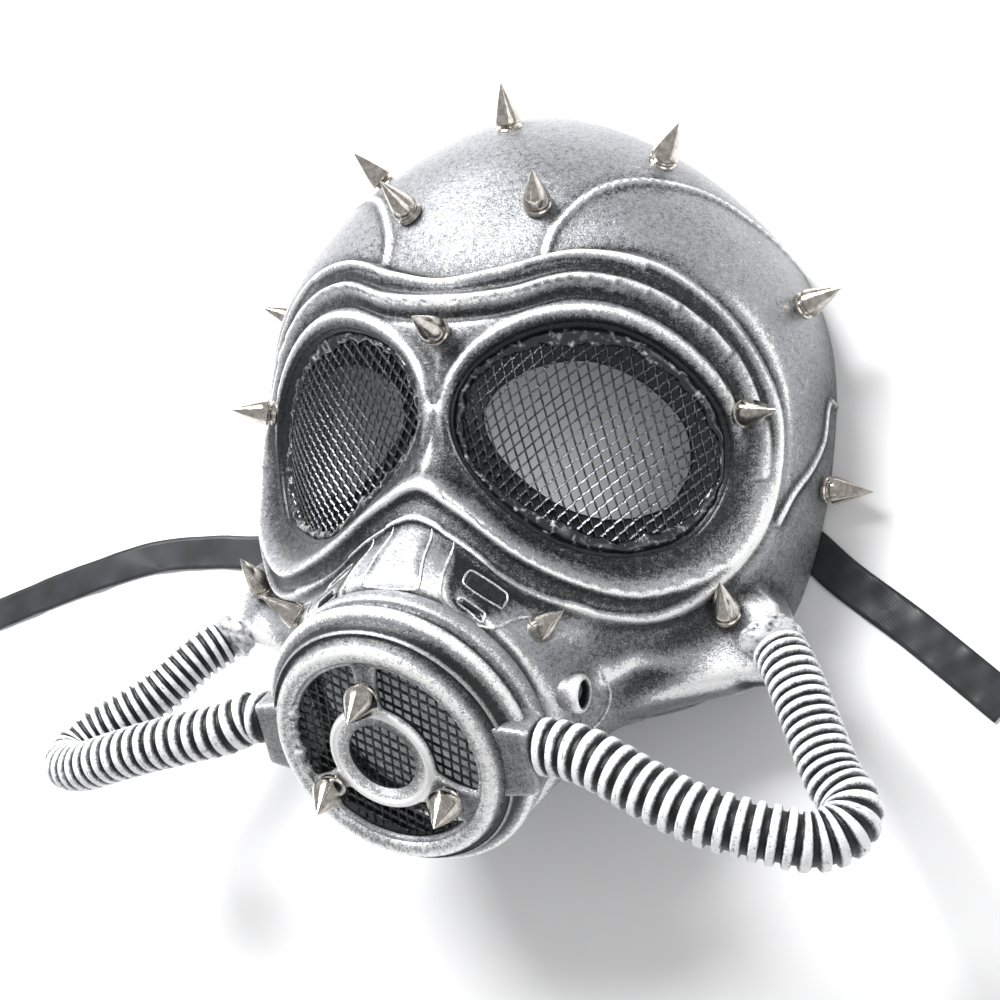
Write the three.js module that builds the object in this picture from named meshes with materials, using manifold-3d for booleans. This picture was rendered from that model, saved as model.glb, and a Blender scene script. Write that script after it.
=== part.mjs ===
// Costume mask in the style of a gas mask, lying face up on the back edge of its moulded shell.
// +Z is height above the table, +Y runs to the forehead, +X to the wearer's left. Millimetres.
import * as THREE from 'three';
import { mergeVertices } from 'three/addons/utils/BufferGeometryUtils.js';
import Module from 'manifold-3d';

// Driving dimensions of the moulded shell
const domeHalfWidth = 100;      // widest half width at the back edge
const foreheadReach = 112.5;     // shell centre to the forehead edge
const chinReach = 92;           // shell centre to the chin edge
const foreheadDepth = 85.5;     // table to the forehead's surface
const cheekDepth = 70;          // table to the surface of the lower cheeks
const faceHalfWidth = 104;      // half width of the curved field that carries the goggles
const faceReachUp = 200;        // its reach towards the forehead, nearly flat
const faceReachDown = 136;      // its reach towards the chin
const faceDepth = 93;           // table to the bridge of the nose
const centreY = -15;            // shell centre, from the bridge of the nose
const wall = 3;                 // moulded wall
const clearance = 0.3;          // gap between separate pieces

// Driving dimensions of the goggle frame, measured along the surface
const frameHalfWidth = 104.6;
const frameHalfHeight = 50;
const frameMiddle = -12;        // middle of the frame's height, from the shell centre
const ridgeHeight = 2.6;
const ridgeHalfWidth = 2.2;
const frameStep = 6;            // width of the step from the frame down to the shell
const eyeHalfWidth = 45;
const eyeHalfHeight = 36.5;
const eyeAcross = 50;           // eye centre, out from the middle
const eyeUp = -15;              // eye centre, up from the shell centre
const eyeRecess = 5.2;          // how far the eye's edge lies below the frame's field
const seatDepth = 4.5;          // ledge that carries a lens, below the eye's edge
const seatLedge = 10;           // width of that ledge
const seatWall = 1.9;           // wall of the seat and its ledge
const seatGap = 0.4;            // how far the seat's wall stands inside the eye's edge
const lensThickness = 1;
const lensBar = 2.2;            // bar between two gaps of a lens mesh
const lensPitchAcross = 14;
const lensPitchUp = 17;

// Driving dimensions of the filter canister
const canisterFront = [0, -128.8, 86.8];   // centre of the front ring's crest
const canisterTilt = 49.9;                 // degrees its axis rises from the table
const frontRingRadius = 35.2;
const flangeRadius = 44.2;
const canisterDepth = 23.3;
const canisterWall = 4;
const canisterSides = 30;
const grilleRadius = 32;
const grilleThickness = 2.4;
const grilleSunk = 0.9;         // grille's rim behind the front ring's crest
const grilleDome = 3.4;         // how far the grille bulges at its middle
const hubRadius = 15.8;
const hubBar = 3;
const spokeHalfWidth = 5.5;
const grilleStudRadius = 22.5;  // circle that the three grille studs stand on
const portReach = 46.5;         // canister axis to the end face of a side port
const portHeight = 25;
const portDepth = 14;
const portWidth = 13.5;
const coneSlope = 0.5;          // how the snout widens behind the canister
const coneDepth = 60;           // how far behind the canister it goes on widening
const chinTuck = 0.8;           // share of that widening left out on the side towards the chin

// Driving dimensions of studs, hoses and ribbons
const studLength = 16.4;
const studRadius = 4.5;
const studFlange = 4.3;
const screwRadius = 1.5;
const screwHead = 1.4;
const grilleStudLength = 14.5;
const grilleStudLean = 0.2;     // sideways lean of the grille studs, per unit of length
const grilleStudBase = 5.3;
const hoseRadius = 8.3;
const hoseReach = 135;          // outermost point of a hose's bend, from the middle
const plugLength = 6;
const socketLength = 8;
const socketRise = 1.5;         // how far the hose's socket stands out of the jaw
const ribbonWidth = 13;
const ribbonThickness = 1;
const rimLift = 1.4;            // the back edge rises here so that a ribbon passes under it

const chart = 90;               // surface millimetres for one radian from the shell centre
const backReach = chart * Math.PI / 2;    // chart distance from the shell centre to the back edge
const azimuths = 48;
const centre = new THREE.Vector3(0, centreY, 0);

const wasm = await Module();
wasm.setup();

// Closed outlines of the goggles, right half, as shares of the frame's half width and half height
const outerRidge = [
  [0, 0.80], [0.175, 0.868], [0.372, 1.0], [0.586, 0.984], [0.802, 0.78], [0.967, 0.386], [1.0, -0.006],
  [0.955, -0.452], [0.815, -0.808], [0.646, -1.0], [0.45, -0.976], [0.293, -0.878], [0.132, -0.668], [0, -0.556],
];
const innerRidge = [
  [0, 0.706], [0.192, 0.752], [0.386, 0.884], [0.609, 0.844], [0.833, 0.594], [0.945, 0.24], [0.971, -0.022],
  [0.925, -0.5], [0.787, -0.774], [0.61, -0.894], [0.461, -0.854], [0.298, -0.724], [0.124, -0.504], [0, -0.39],
];
// One eye's outline, as shares of its half width and half height
const eyeShape = [
  [-0.99, 0.17], [-0.86, 0.56], [-0.473, 0.888], [0, 1], [0.484, 0.827], [0.89, 0.397],
  [0.99, -0.17], [0.78, -0.72], [0.347, -0.97], [-0.058, -0.96], [-0.51, -0.70], [-0.9, -0.22],
];

const smoothstep = (a, b, x) => THREE.MathUtils.smoothstep(x, a, b);
const mix = THREE.MathUtils.lerp;

// Smooth closed curve in the chart, as a list of Vector2
function closedCurve(points, perSpan) {
  const curve = new THREE.CatmullRomCurve3(points.map(([u, v]) => new THREE.Vector3(u, v, 0)), true);
  return curve.getPoints(points.length * perSpan).slice(0, -1).map((p) => new THREE.Vector2(p.x, p.y));
}

function frameCurve(shares) {
  const right = shares.map(([a, b]) => [a * frameHalfWidth, frameMiddle + b * frameHalfHeight]);
  const left = right.slice(1, -1).reverse().map(([u, v]) => [-u, v]);
  return closedCurve([...right, ...left], 6);
}

function eyeCurve(perSpan) {
  return closedCurve(eyeShape.map(([a, b]) => [eyeAcross + a * eyeHalfWidth, eyeUp + b * eyeHalfHeight]), perSpan);
}

const outerCurve = frameCurve(outerRidge);
const innerCurve = frameCurve(innerRidge);
const eyeFine = eyeCurve(6);

// Distance from a chart point to a closed curve, negative inside it
function signedDistance(curve, u, v) {
  let best = Infinity;
  let inside = false;
  for (let i = 0; i < curve.length; i++) {
    const a = curve[i];
    const b = curve[(i + 1) % curve.length];
    const dx = b.x - a.x;
    const dy = b.y - a.y;
    const t = THREE.MathUtils.clamp(((u - a.x) * dx + (v - a.y) * dy) / (dx * dx + dy * dy), 0, 1);
    best = Math.min(best, Math.hypot(u - a.x - t * dx, v - a.y - t * dy));
    if ((a.y > v) !== (b.y > v) && u < dx * (v - a.y) / dy + a.x) inside = !inside;
  }
  return inside ? -best : best;
}

// Unit direction from the shell centre for a chart point; the table is at 90 degrees
function direction(u, v) {
  const rho = Math.hypot(u, v);
  const k = rho > 1e-9 ? Math.sin(rho / chart) / rho : 1 / chart;
  return new THREE.Vector3(u * k, v * k, Math.cos(rho / chart));
}

function smoothMin(a, b, k) {
  const h = THREE.MathUtils.clamp(0.5 + 0.5 * (b - a) / k, 0, 1);
  return mix(b, a, h) - k * h * (1 - h);
}

// The canister's own directions: axis out of its front, and up towards the nose
const tilt = THREE.MathUtils.degToRad(canisterTilt);
const canisterAxis = new THREE.Vector3(0, -Math.cos(tilt), Math.sin(tilt));
const canisterUp = new THREE.Vector3(0, Math.sin(tilt), Math.cos(tilt));
const canisterOrigin = new THREE.Vector3(...canisterFront);

function fromCanister(across, up, behind) {
  return canisterOrigin.clone().addScaledVector(new THREE.Vector3(1, 0, 0), across)
    .addScaledVector(canisterUp, up).addScaledVector(canisterAxis, -behind);
}

// Rounded dome of forehead, temples and cheeks: its radius along a direction
function domeRadius(d) {
  const up = d.y / Math.max(Math.hypot(d.x, d.y), 1e-9);
  const power = up > 0 ? 2.5 - 0.72 * up : 2.5 - 0.5 * up;
  const reach = d.y > 0 ? foreheadReach : chinReach;
  const depth = mix(cheekDepth, foreheadDepth, 0.5 + 0.5 * up);
  const plan = ((Math.abs(d.x) / domeHalfWidth) ** power + (Math.abs(d.y) / reach) ** power) ** (1 / power);
  return (plan ** 3 + (d.z / depth) ** 3) ** (-1 / 3);
}

// Gentler field that carries the goggles
function faceRadius(d) {
  const reach = d.y > 0 ? faceReachUp : faceReachDown;
  return ((d.x / faceHalfWidth) ** 2 + (d.y / reach) ** 2 + (d.z / faceDepth) ** 2) ** -0.5;
}

// Snout: a cone that widens behind the canister and is cut off towards the chin
const snoutFront = canisterDepth + clearance;
const snoutRadius = flangeRadius + 0.8;
const chinSlope = new THREE.Vector3(0, -0.75, -0.66);
const chinEdge = new THREE.Vector3(0, centreY - chinReach - 3, 0);
function snoutDistance(p) {
  const q = p.clone().sub(canisterOrigin);
  const behind = -q.dot(canisterAxis);
  const up = q.dot(canisterUp);
  const slope = coneSlope * (1 - chinTuck * (1 - smoothstep(-34, -6, up)));
  const widened = slope * Math.min(behind - snoutFront, coneDepth);
  const cone = (Math.hypot(q.x, up) - snoutRadius - widened) * 0.894;
  const chin = chinSlope.dot(p.clone().sub(chinEdge));
  return -smoothMin(-Math.max(cone, snoutFront - behind), -chin, 6);
}

// Rounded jaw bar from the snout to the corner of the jaw, one on each side
const jawInner = new THREE.Vector3(0.44 * domeHalfWidth, centreY - 0.837 * chinReach, 26);
const jawOuter = new THREE.Vector3(0.84 * domeHalfWidth, centreY - 0.707 * chinReach, 26);
const jawRadius = 14;
function jawDistance(p) {
  const q = new THREE.Vector3(Math.abs(p.x), p.y, p.z);
  const nearest = new THREE.Line3(jawInner, jawOuter).closestPointToPoint(q, true, new THREE.Vector3());
  return nearest.distanceTo(q) - jawRadius;
}

function eyeOffset(u, v) {
  return -eyeRecess + 0.09 * (v - eyeUp) + 0.03 * (Math.abs(u) - eyeAcross);
}

// Outer radius of the shell at a chart point, with the moulded relief of the goggle frame
function shellRadius(u, v) {
  const d = direction(u, v);
  const outerGap = signedDistance(outerCurve, u, v);
  const innerGap = signedDistance(innerCurve, u, v);
  const inFrame = 1 - smoothstep(1, frameStep, outerGap);
  let radius = faceRadius(d);
  if (inFrame < 1) {
    const dome = domeRadius(d);
    const outside = (t) => {
      const p = centre.clone().addScaledVector(d, t);
      return smoothMin(smoothMin(t - dome, snoutDistance(p), 10), jawDistance(p), 6);
    };
    let far = 190;
    while (outside(far - 2) > 0) far -= 2;
    let near = far - 2;
    for (let i = 0; i < 12; i++) {
      const half = (near + far) / 2;
      if (outside(half) < 0) near = half; else far = half;
    }
    radius = mix(near, radius, inFrame);
  }
  const crest = (gap) => Math.exp(-((gap / ridgeHalfWidth) ** 2));
  let relief = 0.6 * ridgeHeight * crest(outerGap);
  if (innerGap <= 0) {
    const toEye = Math.max(signedDistance(eyeFine, Math.abs(u), v), 0);
    const share = -innerGap / (-innerGap + toEye + 1e-9);
    relief += mix(-1.2, eyeOffset(u, v), smoothstep(0, 1, share)) - 1.6;
  } else if (outerGap < 0) {
    relief -= 1.8;
  }
  return radius + relief + inFrame * ridgeHeight * crest(innerGap);
}

function shellPoint(u, v, radius = shellRadius(u, v)) {
  return centre.clone().addScaledVector(direction(u, v), radius);
}

function shellNormal(u, v) {
  const step = 2;
  const across = shellPoint(u + step, v).sub(shellPoint(u - step, v));
  const up = shellPoint(u, v + step).sub(shellPoint(u, v - step));
  return across.cross(up).normalize();
}

// Rings of equal length, joined end to end, or closed at both ends by rungs or by a fan to a point
function geometryFrom(positions, index) {
  const g = new THREE.BufferGeometry();
  g.setAttribute('position', new THREE.Float32BufferAttribute(positions.flatMap((p) => [p.x, p.y, p.z]), 3));
  g.setIndex(index);
  return g;
}

function loftRings(rings, { looped = false, rungs = false, first = null, last = null } = {}) {
  const n = rings[0].length;
  const positions = rings.flat();
  const index = [];
  const spans = looped ? rings.length : rings.length - 1;
  for (let r = 0; r < spans; r++) {
    const a = r * n;
    const b = ((r + 1) % rings.length) * n;
    for (let i = 0; i < n; i++) {
      const j = (i + 1) % n;
      index.push(a + i, a + j, b + j, a + i, b + j, b + i);
    }
  }
  const cap = (point, offset, flip) => {
    const c = positions.push(point) - 1;
    for (let i = 0; i < n; i++) {
      const j = (i + 1) % n;
      index.push(...(flip ? [c, offset + j, offset + i] : [c, offset + i, offset + j]));
    }
  };
  if (rungs) {
    const offset = (rings.length - 1) * n;
    const face = (i, j, k) => index.push(j, i, k, offset + i, offset + j, offset + k);
    for (let k = 1; k <= n / 2; k++) {
      if (k < n / 2) face(k - 1, k, n - k);
      if (k > 1) face(k - 1, n - k, n - k + 1);
    }
  }
  if (first) cap(first, 0, true);
  if (last) cap(last, (rings.length - 1) * n, false);
  return geometryFrom(positions, index);
}

function toSolid(geometry) {
  const g = geometry.clone();
  for (const name of Object.keys(g.attributes)) if (name !== 'position') g.deleteAttribute(name);
  const merged = mergeVertices(g, 1e-4);
  const mesh = new wasm.Mesh({
    numProp: 3,
    vertProperties: new Float32Array(merged.attributes.position.array),
    triVerts: new Uint32Array(merged.index.array),
  });
  mesh.merge();
  let solid = new wasm.Manifold(mesh);
  if (solid.volume() < 0) {
    mesh.triVerts = mesh.triVerts.slice().reverse();
    solid = new wasm.Manifold(mesh);
  }
  return solid;
}

function toGeometry(solid) {
  const mesh = solid.getMesh();
  const g = new THREE.BufferGeometry();
  g.setAttribute('position', new THREE.BufferAttribute(new Float32Array(mesh.vertProperties), 3));
  g.setIndex(new THREE.BufferAttribute(new Uint32Array(mesh.triVerts), 1));
  return g;
}

// Chart distance from the frame's middle to a curve or to the back edge, along one azimuth
const rayStart = new THREE.Vector2(0, frameMiddle + 0.08 * frameHalfHeight);
function reachTo(curve, angle) {
  let far = 0;
  for (let i = 0; i < curve.length; i++) {
    const a = curve[i].clone().sub(rayStart);
    const b = curve[(i + 1) % curve.length].clone().sub(rayStart);
    const c = Math.cos(angle);
    const s = Math.sin(angle);
    const sideA = c * a.y - s * a.x;
    const sideB = c * b.y - s * b.x;
    if ((sideA > 0) === (sideB > 0)) continue;
    const t = sideA / (sideA - sideB);
    far = Math.max(far, c * mix(a.x, b.x, t) + s * mix(a.y, b.y, t));
  }
  return far;
}

const ribbonExit = THREE.MathUtils.degToRad(-16.4);   // where the right ribbon leaves the temple
function rimRadian(u, v) {
  const angle = Math.atan2(v, Math.abs(u));
  const lift = rimLift * Math.exp(-(((angle - ribbonExit) / 0.16) ** 4));
  return Math.PI / 2 - lift / domeHalfWidth;
}

// Rings of chart points that follow the ridges, then widen out to the back edge
function chartRings(insideShares, outsideShares) {
  const rings = [];
  const angles = Array.from({ length: azimuths }, (_, i) => (2 * Math.PI * (i + 0.5)) / azimuths);
  const spokes = angles.map((angle) => {
    const inner = reachTo(innerCurve, angle);
    const outer = reachTo(outerCurve, angle);
    let rim = backReach;
    for (let k = 0; k < 3; k++) {
      const full = rimRadian(rayStart.x + rim * Math.cos(angle), rayStart.y + rim * Math.sin(angle)) * chart;
      const along = rayStart.y * Math.sin(angle);
      rim = -along + Math.sqrt(along ** 2 - rayStart.y ** 2 + full ** 2);
    }
    const start = outer + frameStep;
    return [
      ...insideShares.map((s) => s * inner), inner - 3.5, inner, (inner + outer) / 2, outer, outer + 0.55 * frameStep,
      ...outsideShares.map((s) => mix(start, rim, s)),
    ];
  });
  for (let r = 0; r < spokes[0].length; r++) {
    rings.push(angles.map((angle, i) => new THREE.Vector2(
      rayStart.x + spokes[i][r] * Math.cos(angle), rayStart.y + spokes[i][r] * Math.sin(angle))));
  }
  return rings;
}

function innerPoint(p) {
  const outer = shellRadius(p.x, p.y);
  const facing = Math.max(shellNormal(p.x, p.y).dot(direction(p.x, p.y)), 0.55);
  return shellPoint(p.x, p.y, outer - wall / facing);
}

function shellBody() {
  const outside = chartRings([0.4, 0.75], [0, 0.18, 0.38, 0.6, 0.82, 1]);
  const inside = chartRings([0.5], [0, 0.25, 0.5, 0.75, 1]);
  const outerRings = outside.map((ring) => ring.map((p) => shellPoint(p.x, p.y)));
  const innerRings = inside.map((ring) => ring.map(innerPoint));
  const rim = innerRings.at(-1);
  rim.forEach((p, i) => { p.z = outerRings.at(-1)[i].z; });
  return toSolid(loftRings([...outerRings, ...innerRings.reverse()], {
    first: shellPoint(rayStart.x, rayStart.y),
    last: innerPoint(rayStart),
  }));
}

// Offset of an eye's outline in the chart, outwards where positive
function eyeOffsetCurve(points, offset) {
  const n = points.length;
  return points.map((p, i) => {
    const along = points[(i + 1) % n].clone().sub(points[(i + n - 1) % n]).normalize();
    return new THREE.Vector2(p.x - along.y * offset, p.y + along.x * offset);
  });
}

function eyeRadius(u, v) {
  return faceRadius(direction(u, v)) + eyeOffset(u, v) - 1.6;
}

function eyeRing(points, offset, depth, side) {
  return eyeOffsetCurve(points, offset).map((p) => shellPoint(side * p.x, p.y, eyeRadius(p.x, p.y) + depth));
}

function eyeCutter(side) {
  const points = eyeCurve(2);
  const ring = (depth) => eyeRing(points, 0, depth, side);
  const middle = (depth) => shellPoint(side * eyeAcross, eyeUp, eyeRadius(eyeAcross, eyeUp) + depth);
  return toSolid(loftRings([ring(-20), ring(20)], { first: middle(-20), last: middle(20) }));
}

// Stepped seat inside an eye: a short wall and the ledge that a lens lies on
function eyeSeat(side) {
  const points = eyeCurve(2);
  const profile = [
    [seatWall - seatGap, -0.8], [seatWall - seatGap, -seatDepth - seatWall], [-seatLedge, -seatDepth - seatWall],
    [-seatLedge, -seatDepth], [-seatGap, -seatDepth], [-seatGap, -0.8],
  ];
  return toSolid(loftRings(profile.map(([e, depth]) => eyeRing(points, e, depth, side)), { looped: true }));
}

function box(width, height, depth) {
  return new THREE.BoxGeometry(width, height, depth);
}

// Place a geometry whose +Y is to point along a direction, turned about it so that +X stays level
function alignTo(geometry, origin, yAxis, xHint = new THREE.Vector3(1, 0, 0)) {
  const y = yAxis.clone().normalize();
  const z = xHint.clone().cross(y).normalize();
  const x = y.clone().cross(z);
  const matrix = new THREE.Matrix4().makeBasis(x, y, z).setPosition(origin);
  return geometry.clone().applyMatrix4(matrix);
}

function tubeAlong(points, radius, sides, steps) {
  const shape = new THREE.Shape(Array.from({ length: sides }, (_, i) => new THREE.Vector2(
    radius * Math.cos((2 * Math.PI * i) / sides), radius * Math.sin((2 * Math.PI * i) / sides))));
  const path = new THREE.CatmullRomCurve3(points);
  return new THREE.ExtrudeGeometry(shape, { steps, bevelEnabled: false, extrudePath: path });
}

// Raised seams that run from the frame to the back edge, as shares of the reach to the back edge
const foreheadSeam = [[0.2, 0.274], [0.201, 0.34], [0.222, 0.392], [0.266, 0.444], [0.326, 0.485], [0.414, 0.511], [0.503, 0.522], [0.592, 0.518]];
const cheekSeam = [[0.94, 0.148], [0.923, 0.022], [0.87, -0.074], [0.799, -0.155], [0.762, -0.229]];
const seamRadius = 1.1;
function seamBead(shares, side) {
  const points = shares.map(([a, b]) => {
    const u = side * a * backReach;
    const v = b * backReach;
    return shellPoint(u, v, shellRadius(u, v) - 0.3);
  });
  return toSolid(tubeAlong(points, seamRadius, 4, 8));
}

// Two vent slots in the snout on each side of the nose
const ventAngles = [55];
const ventPlaces = [27.6, 32.4];
function ventCutters(side) {
  return ventPlaces.flatMap((behind) => ventAngles.map((degrees) => {
    const angle = THREE.MathUtils.degToRad(degrees);
    const radius = snoutRadius + coneSlope * (behind - snoutFront);
    const out = fromCanister(side * Math.cos(angle), Math.sin(angle), 0).sub(canisterOrigin);
    const middle = fromCanister(side * radius * Math.cos(angle), radius * Math.sin(angle), behind);
    return toSolid(alignTo(box(10, 14, 2), middle, out, canisterAxis.clone().cross(out)));
  }));
}

// Short moulded pipe stub beside the snout, and the flat socket that a hose's far end is glued to
const stubRadius = 5.5;
function pipeStub(side) {
  const behind = snoutFront + stubRadius + 1.5;
  const start = fromCanister(side * 0.8 * flangeRadius, 0.26 * flangeRadius, behind);
  const end = fromCanister(side * 1.18 * flangeRadius, 0.26 * flangeRadius, behind);
  const length = start.distanceTo(end);
  const pipe = alignTo(new THREE.CylinderGeometry(stubRadius, stubRadius, length, 12),
    start.clone().add(end).multiplyScalar(0.5), end.clone().sub(start), canisterUp);
  const bore = alignTo(new THREE.CylinderGeometry(stubRadius - 2, stubRadius - 2, length, 10),
    start.clone().add(end).multiplyScalar(0.5).add(new THREE.Vector3(side * 0.7 * length, 0, 0)),
    end.clone().sub(start), canisterUp);
  return { pipe: toSolid(pipe), bore: toSolid(bore) };
}

const hoseSides = 8;
const hoseSteps = 18;
const hoseEndAxis = new THREE.Vector3(0.57, -0.67, 0.48).normalize();
const socketPlace = { right: [0.88, 0.05, 0.8], left: [0.66, -0.62, 0.75] };
function hoseSocketTop(side) {
  const place = new THREE.Vector3(...socketPlace[side > 0 ? 'right' : 'left']).multiplyScalar(jawRadius + socketRise);
  return sideways(jawOuter.clone().add(place), side);
}
function sideways(vector, side) {
  return new THREE.Vector3(side * vector.x, vector.y, vector.z);
}
function hoseSocket(side) {
  const axis = sideways(hoseEndAxis, side);
  const middle = hoseSocketTop(side).addScaledVector(axis, -0.5 * socketLength);
  return toSolid(alignTo(new THREE.CylinderGeometry(hoseRadius, hoseRadius + 1, socketLength, 12), middle, axis));
}

// Studs on the shell: place in shares of the reach to the back edge, or of the frame's half width for one
// on the frame, and the way the tip points. One that isn't screwed stands glued in a seat
const shellStuds = {
  stud_forehead_top: { at: [0, 0.625], lean: [0, 0.767, 0.641], screwed: true },
  stud_forehead_right: { at: [0.155, 0.4], lean: [0.253, 0.369, 0.894], paired: true, screwed: true },
  stud_crown_right: { at: [0.359, 0.581], lean: [0.551, 0.512, 0.66], paired: true, screwed: true },
  stud_bridge: { at: [0, 0.14], lean: [0, 0, 1], screwed: true, onFrame: true },
  stud_temple_upper_right: { at: [0.751, 0.329], lean: [0.893, 0.244, 0.378], paired: true, screwed: true },
  stud_temple_lower_right: { at: [0.943, -0.118], lean: [0.989, -0.05, 0.137], paired: true, screwed: true },
  stud_goggle_right: { at: [0.905, 0.01], lean: [0.822, -0.074, 0.565], paired: true, onFrame: true },
  stud_jaw_right: { at: [0.622, -0.444], lean: [0.11, 0.494, 0.862], paired: true },
  stud_cheek_right: { at: [0.246, -0.466], lean: [0.755, 0.351, 0.548], paired: true },
};

// Turned profile from the screw head inside the wall, through it, to the flange and the cone's tip
function studProfile(length, radius, through) {
  const under = -through;
  const screw = [[0, under - screwHead], [2 * screwRadius, under - screwHead], [2 * screwRadius, under],
    [screwRadius, under], [screwRadius, 0]];
  const cone = [[studFlange, 0], [studFlange, 1.7], [0.65 * radius, 2.3], [radius, 3.1], [0, length]];
  return [...(through ? screw : [[0, 0]]), ...cone].map(([x, y]) => new THREE.Vector2(x, y));
}

const around = Array.from({ length: 12 }, (_, i) => new THREE.Vector2(Math.cos((Math.PI * i) / 6), Math.sin((Math.PI * i) / 6)));

// Their feet stand on the shell's real facets, and the screw heads clear its inside
function studSites(body) {
  const probe = new THREE.Mesh(toGeometry(body), new THREE.MeshBasicMaterial({ side: THREE.DoubleSide }));
  const onFacets = (u, v, inside = false) => {
    const d = direction(u, v);
    const from = centre.clone().addScaledVector(d, inside ? 0 : 2 * domeHalfWidth);
    return new THREE.Raycaster(from, inside ? d : d.clone().negate()).intersectObject(probe)[0].point;
  };
  const sites = [];
  for (const [name, { at: [a, b], lean, paired, screwed, onFrame }] of Object.entries(shellStuds)) {
    const reachOut = onFrame ? frameHalfWidth : backReach;
    for (const side of paired ? [1, -1] : [1]) {
      const u = side * a * reachOut;
      const v = b * reachOut;
      const axis = sideways(new THREE.Vector3(...lean), side).normalize();
      const foot = onFacets(u, v);
      const height = (point) => point.sub(foot).dot(axis);
      const reach = 1.1 * studFlange;
      const high = Math.max(0, ...around.map((q) => height(onFacets(u + reach * q.x, v + reach * q.y))));
      const lift = screwed ? high : 0;
      const sunk = Math.min(...around.map((q) => height(onFacets(u + 5 * q.x, v + 5 * q.y, true))));
      sites.push({
        name: side > 0 ? name : name.replace('right', 'left'),
        base: foot.clone().addScaledVector(axis, lift + clearance),
        axis,
        through: screwed ? lift - sunk + 2 * clearance : null,
      });
    }
  }
  return sites;
}

function studHole(base, axis) {
  const radius = screwRadius + clearance;
  return toSolid(alignTo(new THREE.CylinderGeometry(radius, radius, 6 * wall, 6), base, axis, new THREE.Vector3(0.3, 1, 0.2)));
}

function studSeat(base, axis) {
  const radius = studFlange + clearance;
  const middle = base.clone().addScaledVector(axis, 1.5 * studFlange - clearance);
  return toSolid(alignTo(new THREE.CylinderGeometry(radius, radius, 3 * studFlange, 10), middle, axis));
}

function makeShell(body, sites) {
  let shell = body;
  for (const side of [1, -1]) {
    shell = shell.subtract(eyeCutter(side)).add(eyeSeat(side));
    shell = shell.add(seamBead(foreheadSeam, side)).add(seamBead(cheekSeam, side));
    const stub = pipeStub(side);
    shell = shell.add(stub.pipe).subtract(stub.bore).add(hoseSocket(side));
    for (const cutter of ventCutters(side)) shell = shell.subtract(cutter);
  }
  const bore = alignTo(new THREE.CylinderGeometry(flangeRadius - 8, flangeRadius - 8, 40, 36),
    fromCanister(0, 0, snoutFront), canisterAxis);
  shell = shell.subtract(toSolid(bore));
  for (const { base, axis, through } of sites) shell = shell.subtract(through ? studHole(base, axis) : studSeat(base, axis));
  return shell;
}

// Lens: a curved sheet inside the seat, pierced by a diamond net
function makeLens(side) {
  const points = eyeCurve(2);
  const front = -seatDepth + clearance + lensThickness;
  const back = -seatDepth + clearance;
  const ring = (offset, depth) => eyeRing(points, offset, depth, side);
  const edge = -seatGap - clearance;
  let lens = toSolid(loftRings([ring(-seatLedge, front), ring(edge, front), ring(edge, back), ring(-seatLedge, back)],
    { rungs: true }));
  const halfAcross = (lensPitchAcross - lensBar) / 2;
  const halfUp = (lensPitchUp - lensBar) / 2;
  const corners = [[halfAcross, 0], [0, halfUp], [-halfAcross, 0], [0, -halfUp]];
  for (let row = -6; row <= 6; row++) {
    for (let column = -5; column <= 5; column++) {
      const u = eyeAcross + (column + (row % 2 ? 0.5 : 0)) * lensPitchAcross;
      const v = eyeUp + row * lensPitchUp / 2;
      if (signedDistance(eyeFine, u, v) > -halfUp - 1.5) continue;
      const hole = (depth) => corners.map(([a, b]) => shellPoint(side * (u + a), v + b, eyeRadius(u, v) + depth));
      const at = (depth) => shellPoint(side * u, v, eyeRadius(u, v) + depth);
      lens = lens.subtract(toSolid(loftRings([hole(back - 3), hole(front + 3)], { first: at(back - 3), last: at(front + 3) })));
    }
  }
  return lens;
}

// Canister: turned rings as [radius, distance behind the front crest] and the domed grille
function canisterProfile() {
  const inside = flangeRadius - canisterWall;
  return [
    [grilleRadius - 0.6, 0.9], [frontRingRadius - 1.2, -0.6], [frontRingRadius + 2, 0.6],
    [0.5 * (frontRingRadius + flangeRadius) - 0.2, 3.4], [flangeRadius - 1.4, 7.6], [flangeRadius, 10],
    [flangeRadius - 0.8, 13], [flangeRadius - 2.2, 14.6], [flangeRadius, 18.4], [flangeRadius - 1.2, canisterDepth],
    [inside, canisterDepth], [inside, 8], [grilleRadius - 0.6, 6],
  ].map(([radius, behind]) => new THREE.Vector2(radius, -behind));
}

function arcWindow(from, to) {
  const rOut = grilleRadius - 2;
  const rIn = hubRadius + hubBar / 2;
  const shape = new THREE.Path();
  const gapOut = spokeHalfWidth / rOut;
  const gapIn = spokeHalfWidth / rIn;
  shape.absarc(0, 0, rOut, from + gapOut, to - gapOut, false);
  shape.absarc(0, 0, rIn, to - gapIn, from + gapIn, true);
  shape.closePath();
  return shape;
}

// Extruded plates lie in XY; stand them across the canister's axis and bulge them
function acrossCanister(geometry, bulge) {
  const g = geometry.clone();
  const p = g.attributes.position;
  for (let i = 0; i < p.count; i++) {
    const share = 1 - (Math.hypot(p.getX(i), p.getY(i)) / grilleRadius) ** 2;
    p.setZ(i, p.getZ(i) + bulge * Math.max(share, 0));
  }
  const matrix = new THREE.Matrix4().makeBasis(new THREE.Vector3(1, 0, 0), canisterUp, canisterAxis)
    .setPosition(canisterOrigin);
  return g.applyMatrix4(matrix);
}

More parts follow.
